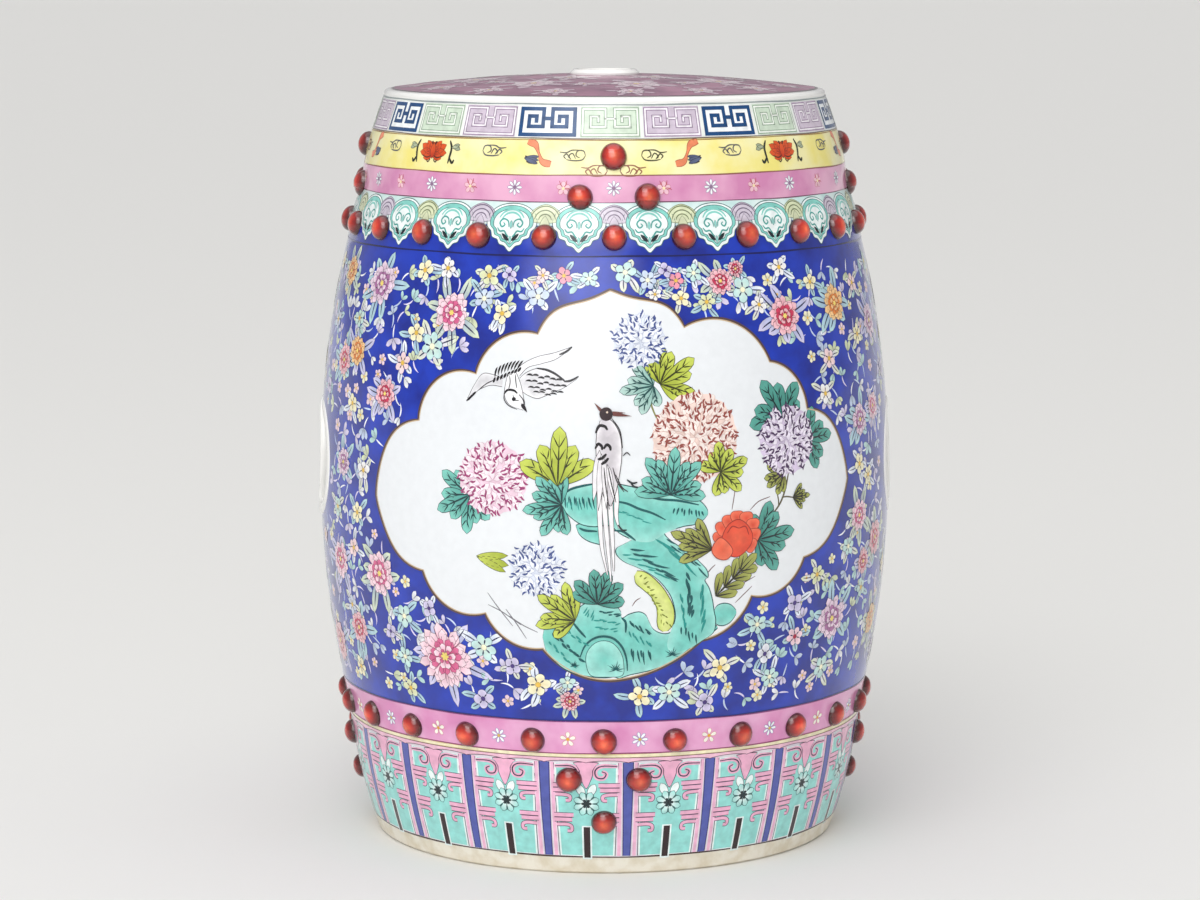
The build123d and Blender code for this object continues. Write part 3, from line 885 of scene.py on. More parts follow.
def chrysanthemum(radius, pale, tip, ink, at, petals):
    """Ball of small petals over a tinted disc: each next petal is turned by about the golden angle and set
    further out by the root of its number, curled by chance, with the inner ones on top and a bent dash of
    ink across each tip."""
    n = np.arange(petals) + 0.5
    aim = n * GOLDEN_ANGLE + chance.uniform(-0.2, 0.2, petals)
    out = radius * 0.86 * np.sqrt(n / petals) * chance.uniform(0.96, 1.03, petals)
    base = heading(aim) * out[:, None]
    lift = (over(2) + 0.2 * (1 - n / petals))[:, None, None]
    size = radius * 2.0 / np.sqrt(petals) * chance.uniform(0.88, 1.12, petals)
    aim = aim + chance.uniform(-0.9, 0.9, petals)
    fill = pale * chance.uniform(0.95, 1.02, (petals, 1))
    under = discs((0, 0), lambda turn: radius * (0.93 + 0.02 * np.sin(17 * turn)), at, tip, line=-1,
                  lift=over(1), rings=8, steps=72)
    way = 0.5 * size[:, None] * heading(aim)
    outer = blades(base - way, aim, size * 1.35, size * 0.95, at, tip * 0.7 + fill * 0.3, fill,
                   tip * 0.5 + ink * 0.5, 0.24, full=0.68, lift=lift,
                   bend=chance.uniform(-0.9, 0.9, petals))
    hook = np.where(np.arange(petals) % 2, 1.0, -1.0)
    across = aim + hook * chance.uniform(0.9, 1.5, petals)
    start = base + way - 0.4 * size[:, None] * heading(across)
    dashes = blades(start, across, size * 0.95, size * 0.3, at, ink, line=-1, full=0.55, lift=lift + 0.02,
                    rows=6, bend=-1.6 * hook)
    return [under, outer, dashes]


def palm_leaf(reach, aim, at, tints, centre=(0, 0), lift=MARK_LIFT, fan=2.3, fingers=7):
    """Chrysanthemum leaf: blunt fingers fanned about the stem end, longest in the middle, each lying a
    little over its outer neighbour, with a midrib and two side veins."""
    fill, heart, ink = tints
    n = np.linspace(-1, 1, fingers)
    aims = aim + n * fan / 2 + 0.08 * np.sin(9 * n + reach)
    uneven = 1 + 0.11 * np.cos((np.arange(fingers) - (fingers - 1) / 2) * np.pi)
    length = reach * (1 - 0.24 * n**2) * uneven
    layer = (lift + 0.05 * (1 - abs(n)) + 0.008 * np.sign(n))[:, None, None]
    way = heading(aims)
    marks = [blades([centre] * fingers, aims, length, reach * (0.12 + 0.62 * fan / fingers), at, heart,
                    fill, ink, 0.4, full=0.64, bend=0.25 * n, lift=layer, rows=11, columns=5),
             blades([centre] * fingers, aims, length * 0.86, 1.1, at, ink, line=-1, bend=0.25 * n, full=0.3,
                    lift=layer + 0.015)]
    for side in (-0.5, 0.5):
        for along in (0.42, 0.64):
            start = centre + way * (length * along)[:, None]
            marks.append(blades(start, aims + side, length * 0.25, 0.8, at, ink, line=-1, full=0.3,
                                lift=layer + 0.015, rows=5))
    return marks


def stem(points, at, tint, width=1.0):
    """Stem through points."""
    return lines([points], width, at, tint, 20, taper=0.3)


TEAL = colour(128, 204, 190), colour(58, 150, 140), colour(6, 52, 56)
DARK_TEAL = colour(92, 168, 154), colour(40, 118, 108), colour(4, 40, 44)
PALE_LEAF = colour(186, 216, 208), colour(128, 178, 168), colour(30, 74, 74)
LIME = colour(206, 218, 96), colour(158, 172, 42), colour(52, 54, 14)
OLIVE = colour(172, 178, 92), colour(112, 112, 46), colour(40, 38, 14)
ROSE = colour(252, 244, 248), colour(243, 212, 228), colour(156, 58, 112)
PEACH = colour(251, 240, 235), colour(244, 218, 208), colour(150, 74, 66)
LILAC = colour(244, 238, 248), colour(218, 202, 228), colour(74, 46, 88)
SKY = colour(246, 248, 253), colour(224, 230, 244), colour(66, 82, 140)

# Lifts in mm of the leaves near the rock, the red peony and the perched bird, which lie over it
NEAR_LIFT, PEONY_LIFT, BIRD_LIFT = MARK_LIFT + 0.21, MARK_LIFT + 0.33, MARK_LIFT + 0.46

# The rock's surroundings are set out on a sketch whose steps run right and down from its upper left corner
SKETCH_STEP, SKETCH_CORNER = np.array((0.001382, -0.001382)), np.array((-0.07088, -0.00833))


def sketched(points):
    """Painting coordinates in mm, from the middle of the reserve, of points of the sketch, which is part of
    what the camera sees: the ray through a point is met with the wall, whose radius is looked up anew at
    each height found."""
    across, up = np.moveaxis(np.asarray(points, float) * SKETCH_STEP + SKETCH_CORNER, -1, 0) / LENS
    ahead, rise = np.cos(PITCH) + up * np.sin(PITCH), up * np.cos(PITCH) - np.sin(PITCH)
    square = across**2 + ahead**2
    height = PANEL_CENTRE + 0 * up
    for _ in range(6):
        reach = radius_at(height)
        far = DISTANCE * ahead - np.sqrt((DISTANCE * ahead) ** 2 - square * (DISTANCE**2 - reach**2))
        height = EYE + far / square * rise
    turn = TURN + np.arctan2(far / square * across, DISTANCE - far / square * ahead)
    lean = np.hypot(1, slope_at(PANEL_CENTRE))
    return np.stack((np.degrees(turn) * degree, (height - PANEL_CENTRE) * lean), -1)


def long_leaf(start, end, wide, at, tints, lift):
    """Narrow toothed leaf: pairs of blunt lobes along a midrib, each over the pair behind, and a tip lobe."""
    fill, heart, ink = tints
    start, end = sketched(start), sketched(end)
    along = end - start
    reach, aim = np.hypot(*along), np.arctan2(along[1], along[0])
    step = np.repeat(np.array((0.0, 0.2, 0.4, 0.58)), 2)
    side = np.tile((-1.0, 1.0), 4)
    aims = np.append(aim + side * 0.62, aim)
    base = start + np.append(step, 0.5)[:, None] * along
    length = np.append(wide * (1.25 - 0.35 * step), 0.5 * reach)
    layer = (lift + 0.006 * np.arange(9))[:, None, None]
    return [blades(base, aims, length, 0.5 * wide, at, heart, fill, ink, 0.36, full=0.68, lift=layer, rows=9,
                   columns=5),
            blades(base, aims, length * 0.8, 0.9, at, ink, line=-1, full=0.3, lift=lift + 0.065),
            blades([start], aim, reach * 0.9, 1.2, at, ink, line=-1, full=0.3, lift=lift + 0.07)]


def blossoms_of_panel(face):
    """Chrysanthemums of the reserve, with their leaves and stems."""
    middle = (face, PANEL_CENTRE)
    stalk, twig = colour(132, 134, 78), colour(96, 88, 66)
    marks = [stem([(0, -12), (3, -24), (4, -36), (10, -50)], (face + 5.6, 316), stalk),
             stem(sketched([(162, 8), (160, 18), (157, 26), (153, 32)]), middle, twig, 1.2),
             stem(sketched([(154.5, 16), (156, 24), (156, 27)]), middle, twig, 0.9),
             stem(sketched([(158, 22.5), (161, 22), (165, 22.5)]), middle, twig, 0.9)]
    near = ((23, 16, 31, 90, 1.7, 5, LIME), (25.5, 27, 21, 186, 3.2, 9, TEAL),
            (91, 21, 25, 84, 2.8, 9, TEAL), (121, 7, 17, 25, 4.4, 9, LIME),
            (116, 54, 25, 156, 1.1, 5, OLIVE), (143.5, 48, 24, 12, 3.0, 7, DARK_TEAL),
            (33.5, 97, 24, 150, 2.0, 7, LIME), (47, 87, 21, 84, 2.4, 6, DARK_TEAL),
            (164.5, 22.5, 12.5, 2, 1.3, 5, OLIVE))
    for k, (x, y, reach, aim, fan, fingers, tints) in enumerate(near):
        lift = NEAR_LIFT + 0.02 * (k % 3)
        marks += palm_leaf(reach, np.radians(aim), middle, tints, sketched((x, y)), lift, fan, fingers)
    marks += long_leaf((118, 82), (143, 56), 11.5, middle, OLIVE, NEAR_LIFT + 0.01)
    far = ((8.6, 293, 23, 38, 2.5, 7, LIME), (7.4, 292, 18, 192, 2.8, 7, PALE_LEAF),
           (34.6, 270, 24, 126, 3.2, 7, DARK_TEAL), (40.6, 256, 20, 0, 3.4, 7, DARK_TEAL),
           (34.6, 238, 15, 200, 2.2, 6, OLIVE), (-28.4, 227.5, 22, 205, 3.6, 9, TEAL))
    for angle, height, reach, aim, fan, fingers, tints in far:
        marks += palm_leaf(reach, np.radians(aim), (face + angle, height), tints, fan=fan, fingers=fingers)
    for angle, height, radius, tints, petals in (
            (4.8, 318, 16.0, SKY, 78), (15.5, 262, 27.5, PEACH, 215), (35.6, 257, 21.5, LILAC, 136),
            (-23.7, 238, 22.5, ROSE, 140), (-15.1, 186, 16.5, SKY, 80)):
        marks += chrysanthemum(radius, *tints, (face + angle, height), petals)
    marks.append(blades([(-9.5, 3), (-9, 2.4), (-9.5, 3.4)], (-0.42, -0.18, 0.06), 20, (4.6, 5.6, 4.6),
                        (face - 24, 189), *LIME, 0.3, lift=over(1)))
    grass = (((0, 0), (6, -8), (15, -19)), ((0, -7), (9, -11), (20, -18)), ((11, -9), (17, -17), (23, -26)),
             ((13, -13), (21, -18), (30, -22)))
    straws = (((126, 83), (132, 76), (142, 70)), ((130, 86), (135, 81), (140, 76)),
              ((68, 88), (70, 85), (73, 83)), ((128, 30), (129, 24), (130, 17)),
              ((139, 30), (144, 25), (151, 22)), ((112, 70), (115, 66), (118, 63)))
    marks.append(lines(grass, 0.6, (face - 25.0, 171), colour(112, 110, 118)))
    marks.append(lines(sketched(straws), 0.6, middle, colour(112, 84, 84)))
    return marks


def red_peony(face):
    """Red peony of the reserve: a broad oval petal before a rim of smaller ones, and one that falls left."""
    at = (face, PANEL_CENTRE)
    red, deep = colour(236, 96, 64), colour(222, 72, 46)
    pale, ink = colour(240, 118, 86), colour(146, 34, 24)
    rim = np.array(((120.5, 47), (122, 41), (126, 37), (131, 34.5), (136.5, 35), (140.5, 39), (141.3, 45),
                    (139, 51)))
    marks = [discs(sketched(rim), lambda turn: 4.4 + 0.5 * np.sin(3 * turn), at, pale, ink, 0.34,
                   PEONY_LIFT + 0.008 * np.arange(8)[:, None, None], 5, 24, deep)]
    heart = through([(131.5, 35.5), (137.5, 39), (140.5, 46), (138, 53), (131, 58.5), (124, 56),
                     (121.5, 48), (125, 39.5)], 61, closed=True)
    fall = through([(121, 46.5), (126, 50), (128.5, 55), (125, 60), (119, 59.5), (115.5, 55), (117, 50)],
                   49, closed=True)
    marks.append(patches(sketched(heart)[None], at, deep, ink, 0.36, PEONY_LIFT + 0.09, 9, heart=red))
    marks.append(patches(sketched(fall)[None], at, pale, ink, 0.36, PEONY_LIFT + 0.12, 7, heart=red))
    folds = (((125, 44), (128, 40), (132, 41)), ((132, 41), (136, 40), (138, 45)))
    marks.append(lines(sketched(folds), 0.6, at, ink, 12, PEONY_LIFT + 0.13))
    return marks


# Rock and birds


def ruled(stations, at, fill, heart, ink, lift, lines_off=(), line=0.45, count=90, columns=13):
    """Long patch between two edges: each station holds a point of the first and of the second edge. The
    fill goes over to heart halfway across, and lines_off lists spans along the second edge, from 0 to 1,
    that have no ink."""
    stations = np.asarray(stations, float)
    first, second = through(stations[:, 0], count), through(stations[:, 1], count)
    c = np.linspace(0, 1, columns)[:, None]
    spots = first[:, None] * (1 - c) + second[:, None] * c
    wide = np.linalg.norm(second - first, axis=-1)[:, None]
    s = np.linspace(0, 1, count)[:, None]
    dry = sum(((s >= a) & (s <= b) for a, b in lines_off), np.zeros_like(s, bool))
    inside = np.minimum(wide * c[:, 0] - line, wide * (1 - c[:, 0]) - np.where(dry, -1, line))
    middle = np.sin(np.pi * c) ** 0.7
    shade = np.broadcast_to(fill * (1 - middle) + heart * middle, (1, count, columns, 3))
    return sheet(spots[None], at, shade, ink, inside[None], lift)


def hatch(start, stop, count, aims, length, width, at, tint, lift):
    """Row of tapering brush strokes from one sketch point to another, turning from first to last aim."""
    start, stop = np.array(start), np.array(stop)
    s = np.linspace(0, 1, count)[:, None]
    n = np.arange(count)
    reach = length * (0.95 + 0.28 * np.sin(2.3 * n + start[0]))
    aim = np.radians(np.linspace(*aims, count)) + 0.1 * np.sin(4.1 * n)
    base = sketched((1 - s) * start + s * stop) + 0.5 * np.sin(3.7 * n + stop[1])[:, None]
    return blades(base, aim, reach, width * 1.45, at, tint, line=-1, bend=0.25, full=0.38, lift=lift)


def scholars_rock(face):
    """Turquoise rock: a leaning trunk that carries a slab, on boulders, with a moss crescent in its crook."""
    at = (face, PANEL_CENTRE)
    pale, turquoise = colour(162, 224, 214), colour(116, 202, 190)
    deep, mid, ink = colour(6, 86, 88), colour(34, 146, 138), colour(6, 72, 76)

    def rock(stations, level, off=(), count=90):
        """One boulder, so many steps of 0.02 mm above the lowest marks."""
        return ruled(sketched(stations), at, pale, turquoise, ink, MARK_LIFT + level * 0.02, off, 0.6, count)

    base = (((14, 106), (14, 107)), ((15.5, 100), (16, 115)), ((19, 97.5), (20, 120)),
            ((24, 96.5), (26, 125.5)), ((29, 97), (32, 128.5)), ((32, 98), (35, 129.5)),
            ((33.5, 92), (38, 130.2)), ((38, 87), (43, 131)), ((44, 85.2), (48, 131.5)),
            ((52, 86), (53, 131.5)), ((58, 87.6), (57, 131)), ((61, 91), (60, 132)),
            ((61.8, 95), (63, 131)), ((66, 92.6), (67, 129.7)), ((72, 91.2), (72, 128.7)),
            ((76, 93), (76, 127.8)), ((78, 97), (80, 126.8)), ((80.5, 101.5), (83, 125.8)),
            ((85, 104), (88, 124)), ((90, 104), (94, 120.8)), ((97, 100), (102, 114.5)),
            ((106, 99), (110, 109)), ((114, 100), (116, 104.5)), ((119, 99.5), (119.5, 101.5)))
    trunk = (((86, 40), (72, 46)), ((88, 45), (63, 50.5)), ((92, 49), (58, 53.5)), ((98, 53), (58.5, 57.5)),
             ((104, 57), (63, 61.5)), ((109, 61.5), (70, 64.5)), ((113, 66), (77, 67.8)),
             ((114, 70), (83, 72)), ((112, 72.5), (87.5, 77)), ((114.5, 77), (91, 82.5)),
             ((116.5, 84), (93, 89)), ((117.5, 91), (93.6, 95)), ((118.5, 97), (92, 101)),
             ((117, 104), (90, 106)), ((110, 109), (89, 112)), ((104, 113), (91, 117)))
    slab = (((25, 24), (25, 24.5)), ((26.5, 20), (26, 29)), ((31, 17), (30, 34)), ((38, 15), (37, 39)),
            ((46, 13.8), (45, 40.5)), ((56, 13.6), (54, 40)), ((66, 15.4), (62, 45.5)),
            ((76, 17.6), (71, 49)), ((86, 20), (80, 49)), ((95, 21.5), (88, 44)), ((103, 22.5), (98, 40.5)),
            ((109, 24.5), (106, 39)), ((113, 29), (111, 36)), ((113.6, 32), (113.4, 33)))
    under = (((34, 39), (34, 40)), ((37, 38), (36, 45)), ((42, 38), (41, 49)), ((49, 38), (49, 51.5)))
    side = (((117, 91), (117, 96)), ((119, 87.5), (119, 99.5)), ((123, 86), (123, 100)),
            ((127, 86.7), (127, 98)), ((130, 89.5), (130, 94)), ((130.6, 91.5), (130.6, 92.2)))
    moss = (((71, 66.5), (69, 70)), ((75, 67), (70, 74.5)), ((80, 70), (74, 78)), ((86, 76), (79, 82.5)),
            ((90, 82), (82, 88)), ((92.8, 88), (82.8, 93)), ((93.5, 94), (82.6, 97.5)),
            ((92.5, 99.5), (83.5, 101.5)), ((89.5, 103), (86, 103.4)))
    marks = [rock(base, 1), rock(under, 1, count=24), rock(side, 2, count=36), rock(trunk, 4, ((0.78, 1),)),
             rock(slab, 6, ((0.5, 0.74),)),
             ruled(sketched(moss), at, colour(196, 212, 90), colour(222, 230, 140), LIME[2],
                   MARK_LIFT + 0.14, count=48)]
    boss = through([(40, 123), (40.5, 116), (45, 110.5), (51, 108.7), (57, 110.7), (61.5, 116.5), (63, 123),
                    (62, 130), (52, 131), (43, 130)], 61, closed=True)
    marks.append(patches(sketched(boss)[None], at, pale, ink, 0.3, MARK_LIFT + 0.08, 9, heart=turquoise))
    top = MARK_LIFT + 0.16
    folds = (((36.5, 119), (39.5, 112), (45, 107.5), (51, 106.3), (57, 107.8), (62, 113), (64.5, 120),
              (65, 127)), ((54, 24.5), (64, 26), (72, 29.4), (80, 32), (88, 36)),
             ((72, 20), (84, 23.5), (96, 24.5), (108, 27)), ((57, 42.5), (62, 43), (66, 45.5), (70, 48.5)),
             ((61.5, 95), (64, 98), (64, 104)), ((32, 97.5), (35.5, 102), (40, 107)),
             ((26, 21), (31, 17.6), (38, 15.6), (45, 14.4)), ((36, 41), (40, 42.5), (47, 43)))
    marks.append(lines([sketched(f) for f in folds], 1.4, at, deep, 26, top, 0.6))
    for start, stop, count, aims, length, width, tint in (
            ((28, 22), (44, 22.5), 11, (-95, -85), 6.5, 0.6, deep),
            ((29, 25), (43, 25), 6, (-97, -88), 5, 0.5, mid),
            ((94, 28.5), (110, 30.5), 9, (-115, -80), 4.0, 0.8, deep),
            ((58, 30), (74, 36), 6, (-20, -30), 6, 0.5, mid),
            ((66, 54), (90, 70), 10, (-14, -38), 9.5, 0.95, deep),
            ((62, 57), (84, 69), 8, (-8, -30), 7.5, 0.7, mid),
            ((82, 47), (100, 62), 8, (-36, -56), 12, 0.95, mid),
            ((88, 48), (108, 64), 7, (-36, -50), 8, 0.7, deep),
            ((100, 68), (105, 90), 9, (-70, -118), 7.5, 1.2, deep),
            ((110, 75), (112, 96), 8, (-96, -112), 8, 1.1, mid),
            ((97, 80), (100, 98), 7, (-80, -100), 6, 0.8, mid),
            ((98, 100), (106, 105), 5, (-95, -85), 6, 0.8, deep),
            ((20, 104), (36, 119), 9, (-60, -42), 4.4, 1.1, deep),
            ((18, 109), (31, 123), 7, (-62, -45), 4, 0.9, mid),
            ((27, 101), (38, 110), 6, (-60, -40), 4, 0.8, mid),
            ((38, 93), (44, 96.5), 5, (50, 66), 4.6, 0.6, mid),
            ((48, 91), (58, 94), 6, (-12, 4), 4, 0.7, deep),
            ((45, 96), (58, 99), 6, (-10, 8), 4, 0.6, mid),
            ((45, 101), (57, 103), 5, (-6, 10), 4, 0.6, mid),
            ((66, 97), (77, 103), 7, (-66, -50), 4.6, 0.8, deep),
            ((66, 103), (78, 110), 7, (-76, -60), 4.6, 0.7, mid),
            ((67, 114), (79, 115), 7, (-92, -84), 7.5, 0.8, deep)):
        marks.append(hatch(start, stop, count, aims, length, width, at, tint, top + LAYER / 2))
    marks.append(hatch((73, 70), (90, 99), 14, (40, -60), 2.6, 0.6, at, colour(120, 132, 40), top + LAYER))
    marks.append(hatch((75, 74), (87, 98), 11, (-30, -100), 2.4, 0.5, at, colour(140, 150, 52), top + LAYER))
    for x, y, reach in ((58, 126.5, 6.0), (92, 117.5, 5.6), (33, 124, 3.6)):
        fan = np.radians(np.linspace(-15, 195, 10))
        length = reach * (0.75 + 0.25 * np.sin(np.arange(10) * 2.1))
        marks.append(blades(sketched([(x, y)] * 10), fan, length, 0.6, at, deep, line=-1, full=0.3,
                            lift=top + LAYER))
    return marks


def perched_bird(face):
    """Long-tailed bird on the rock: pale body and tail in fine line, dark head, collar and wing bars."""
    at = (face - 1.5, 238)
    grey, pale, black = colour(206, 200, 206), colour(246, 243, 246), colour(26, 22, 26)
    soft = colour(70, 62, 68)
    top = BIRD_LIFT
    body = [((-1, 36.4), (-4.4, 34.6)), ((3.4, 34), (-6, 29)), ((7.2, 27), (-6.8, 21)),
            ((8.4, 17), (-6.4, 11)), ((7.4, 6), (-5, 2)), ((5, -6), (-2.6, -8)), ((2.4, -14), (1.4, -14.4))]
    tail = [[(-4.4, 8), (-4.6, -12), (-3.4, -36), (0.0, -54)],
            [(-1.8, 4), (-1.6, -16), (0.2, -38), (2.0, -58)],
            [(1.4, 2), (1.6, -14), (2.8, -34), (3.6, -52)], [(3.8, 0), (5.0, -10), (5.0, -20), (6.6, -27)]]
    tails = np.stack([through(t, 30) for t in tail])
    width = 1.75 * (1 - 0.72 * np.linspace(0, 1, 30) ** 2)
    marks = [strips(tails, np.broadcast_to(width, tails.shape[:2]), at, pale, soft, 0.28, top),
             ruled(body, at, pale, grey, soft, top + LAYER, count=40, columns=9),
             blades([(-4.4, 18), (-3.4, 16), (-2.2, 14), (0, 10)], np.radians((-97, -93, -87, -80)),
                    (30, 33, 30, 22), (5.0, 4.2, 3.6, 3.2), at, colour(232, 228, 232), pale, black, 0.26,
                    full=0.35, lift=top + 2 * LAYER + 0.01 * np.arange(4)[:, None, None]),
             dot(3.9, at, colour(46, 26, 32), (-0.8, 38.4), top + 3 * LAYER),
             blades([(1.6, 38.6), (1.6, 39.2), (-3.4, 40)], (-0.12, -0.02, 2.3), (12.5, 9, 6.4),
                    (2.2, 1.5, 1.7), at, colour(112, 62, 58), line=-1, full=0.2,
                    lift=top + (2 + np.arange(3) / 3)[:, None, None] * LAYER),
             lines([[(-6.8, 27.6), (-4.8, 31.6), (-1.6, 31.4), (0, 29.4)],
                    [(-7, 18.6), (-5.4, 21.4), (-3.4, 20.2), (-3, 18)],
                    [(-2.2, 18.6), (-0.4, 21), (1.4, 19.8), (1.8, 17.6)],
                    [(-5.6, 12.6), (-3, 13.4), (-0.6, 15.8)], [(-3.6, 9.8), (-1.4, 11.2), (0.6, 13.4)]],
                   1.7, at, black, 14, top + 4 * LAYER),
             lines([[(2.4, 36), (7.0, 29), (8.6, 19)], [(8.8, 14.6), (11, 16.4), (13, 14.8)],
                    [(4.6, 4), (8, -3), (11.6, -6)], [(3, 8), (5.4, 0), (9.4, -6)],
                    [(0.4, 8), (2.4, -2), (4.8, -12)], [(-2, 8), (-1, -2), (1, -16)]], 0.7, at,
                   colour(50, 44, 48), 14, top + 4 * LAYER),
             lines([[(11, 1), (14, -1), (17, -0.6)], [(13, -0.4), (15, -3), (17.4, -3.4)],
                    [(6, -25), (8.4, -28), (11, -28)]], 1.1, at, colour(30, 40, 44), 8, top + 4 * LAYER),
             dot(0.6, at, colour(240, 220, 200), (-0.2, 39.4), top + 5 * LAYER)]
    return marks


def flying_bird(face):
    """Bird flying down to the right: a narrow raised wing, a broad near wing full of hooked feather marks,
    a fan of short dark feathers over the back, a long pointed tail and a round head with a short beak."""
    at = (face - 20.0, 293.0)
    black, soft = colour(34, 30, 36), colour(70, 66, 72)
    pale, grey = colour(248, 248, 250), colour(222, 221, 225)
    top = over(1)
    far_wing = [((1, 7), (4, 4)), ((6, 11.6), (9, 9)), ((14, 15.5), (17, 11.4)), ((24, 18), (25, 14)),
                ((34.4, 21.6), (33.6, 20))]
    near_wing = [((4, 3), (4.5, -4)), ((8, 6.5), (9, -6.8)), ((14, 8.8), (14.5, -8.6)),
                 ((20, 7.6), (19.5, -7)), ((26, 5), (24, -4.6)), ((31, 2), (29.5, -2.4)),
                 ((38.6, 4.6), (37.6, 3))]
    tail = [((-6, 2.4), (-6.4, -2.6)), ((-12, 4.4), (-13, -2)), ((-19, 4.6), (-18, -3.6)),
            ((-24, -2), (-22, -6)), ((-28, -10), (-27, -11.4))]
    breast = [((-3.4, 5), (2, 6)), ((-4.4, 0), (4.4, 1)), ((-5, -5), (6, -4)), ((-4.4, -9), (7, -8.6)),
              ((-1, -13), (7.6, -11)), ((6.6, -15.4), (7.6, -15))]
    marks = [ruled(far_wing, at, pale, pale, soft, top, line=0.36, count=40, columns=7),
             ruled(near_wing, at, pale, grey, soft, top + LAYER, line=0.4, count=48, columns=9),
             ruled([(b, a) for a, b in tail], at, pale, grey, soft, top, line=0.36, count=32, columns=7),
             ruled([(b, a) for a, b in breast], at, pale, pale, soft, top + 2 * LAYER, line=0.36, count=32,
                   columns=9)]
    n = np.arange(8)
    upper = np.stack((-11 + 1.9 * n, 2.4 + 1.35 * n - 0.09 * n**2), -1)
    lower_row = np.stack((-12 + 2.1 * n, -0.4 + 0.95 * n), -1)
    marks.append(blades(upper, np.radians(96 - 3 * n), 6.6, 1.15, at, black, line=-1, full=0.6, bend=-0.6,
                        lift=top + 2 * LAYER))
    marks.append(blades(lower_row, np.radians(70 - 2 * n), 3.6, 1.5, at, black, line=-1, full=0.5,
                        lift=top + 2 * LAYER))
    for k, (count, x, y) in enumerate(((6, 8, 4.6), (7, 7.5, 1.2), (6, 9, -2.4), (4, 12, -5))):
        n = np.arange(count)
        base = np.stack((x + 3.4 * n, y - 0.45 * n + 0.5 * np.sin(2.4 * n)), -1)
        aims = np.radians(38 + 6 * np.sin(3 * n))
        marks.append(blades(base, aims, 4, 1.25 - 0.1 * k, at, black, line=-1, full=0.6, bend=-1.4,
                            lift=top + 3 * LAYER))
    marks.append(lines([[(14, 8.8), (20, 8), (25, 5.8), (30.4, 2.2)], [(30, 1.6), (34, 2.2), (38.4, 4.6)],
                        [(27, 16.8), (31, 18.6), (34.4, 21.4)], [(-22.6, -6), (-25, -8.4), (-28.4, -11.6)],
                        [(-5, -6.4), (-3, -4.2), (0.6, -4.2), (3, -5.8)]], 1.3, at, black, 14,
                       top + 4 * LAYER))
    marks.append(lines([[(-5, -6), (-4.8, -9.6), (-2, -13), (3, -15)], [(4, -6.4), (6.6, -9.6), (7.4, -14)],
                        [(0.4, -7), (1.6, -9.6), (4, -10)], [(-2, 4), (-1.6, 0), (-2.4, -4)],
                        [(1.4, 5), (1.8, 1), (2.6, -3)], [(-11, 1.4), (-16, -1), (-21, -5)]], 0.6, at,
                       colour(60, 56, 62), 14, top + 4 * LAYER))
    marks.append(blades((5.6, -11.6), -0.95, 6, 2.2, at, black, line=-1, full=0.3, lift=top + 4 * LAYER))
    marks.append(dot(1.2, at, black, (1.0, -9.2), top + 5 * LAYER))
    return marks


painted("reserve_rock", scholars_rock(0.0) + scholars_rock(180.0), paint)
painted("reserve_flowers", blossoms_of_panel(0.0) + red_peony(0.0), paint)
painted("back_reserve_flowers", blossoms_of_panel(180.0) + red_peony(180.0), paint)
birds = [mark for face in panel_faces for mark in perched_bird(face) + flying_bird(face)]
painted("reserve_birds", birds, paint)

# Flowers of the blue field


def peony(radius, deep, mid, light, ink, at, turn=0.0):
    """Full peony: five rows of rounded petals, the inner rows on top, each petal moved and sized a little
    by chance and pale at its tip, round a few gold stamens."""
    marks = []
    many = max(1.0, (radius / 12) ** 0.7)
    rows = ((13, 1.0, 0.44), (11, 0.8, 0.42), (9, 0.6, 0.36), (6, 0.42, 0.32), (4, 0.26, 0.2))
    for row, (count, reach, wide) in enumerate(rows):
        count, wide = round(count * many), wide / many
        aim = turn + 0.4 * row + np.arange(count) * 2 * np.pi / count + chance.uniform(-0.16, 0.16, count)
        length = radius * reach * chance.uniform(0.86, 1.06, count)
        tint = (light, light, mid, light, mid)[row] * chance.uniform(0.9, 1.04, (count, 1))
        step = 2 + row + 0.7 * np.arange(count)[:, None, None] / count
        foot = (mid, mid, deep, mid, deep)[row]
        marks.append(blades(np.zeros((count, 2)), aim, length, radius * wide, at, foot, tint, ink, 0.3,
                            full=0.82, lift=over(step)))
    marks.append(petal_ring(6, radius * 0.14, radius * 0.08, at, colour(250, 226, 120), lift=over(7),
                            line=-1))
    return marks


def flat_blossom(radius, at, fill, heart, ink, count, turn):
    """Flat blossom of rounded petals, a little out of round, with ink between them, round a dotted heart."""
    def shape(angle):
        """Radius of the outline at an angle."""
        uneven = 1 + 0.09 * np.sin(2 * angle + 5 * turn) + 0.05 * np.sin(3 * angle + 9 * turn)
        return radius * uneven * (0.6 + 0.4 * abs(np.cos((angle - turn) * count / 2)) ** 0.7)
    return [discs((0, 0), shape, at, fill, ink, 0.28, over(2), 5, 12 * count, fill * 0.6 + heart * 0.4),
            petal_ring(count, radius * 0.62, radius * 0.12, at, ink, line=-1, start=radius * 0.2,
                       turn=turn + np.pi / count, lift=over(3)),
            dot(radius * 0.24, at, heart, lift=over(4), ink=ink, line=0.12, steps=10)]


PALE_TEAL, PALE_BLUE, PALE_LILAC = colour(190, 226, 226), colour(198, 214, 240), colour(222, 214, 242)
PALE_GREEN, GREY_BLUE, SNOW = colour(222, 232, 196), colour(140, 164, 206), colour(244, 246, 252)
FIELD_INK = colour(20, 22, 74)


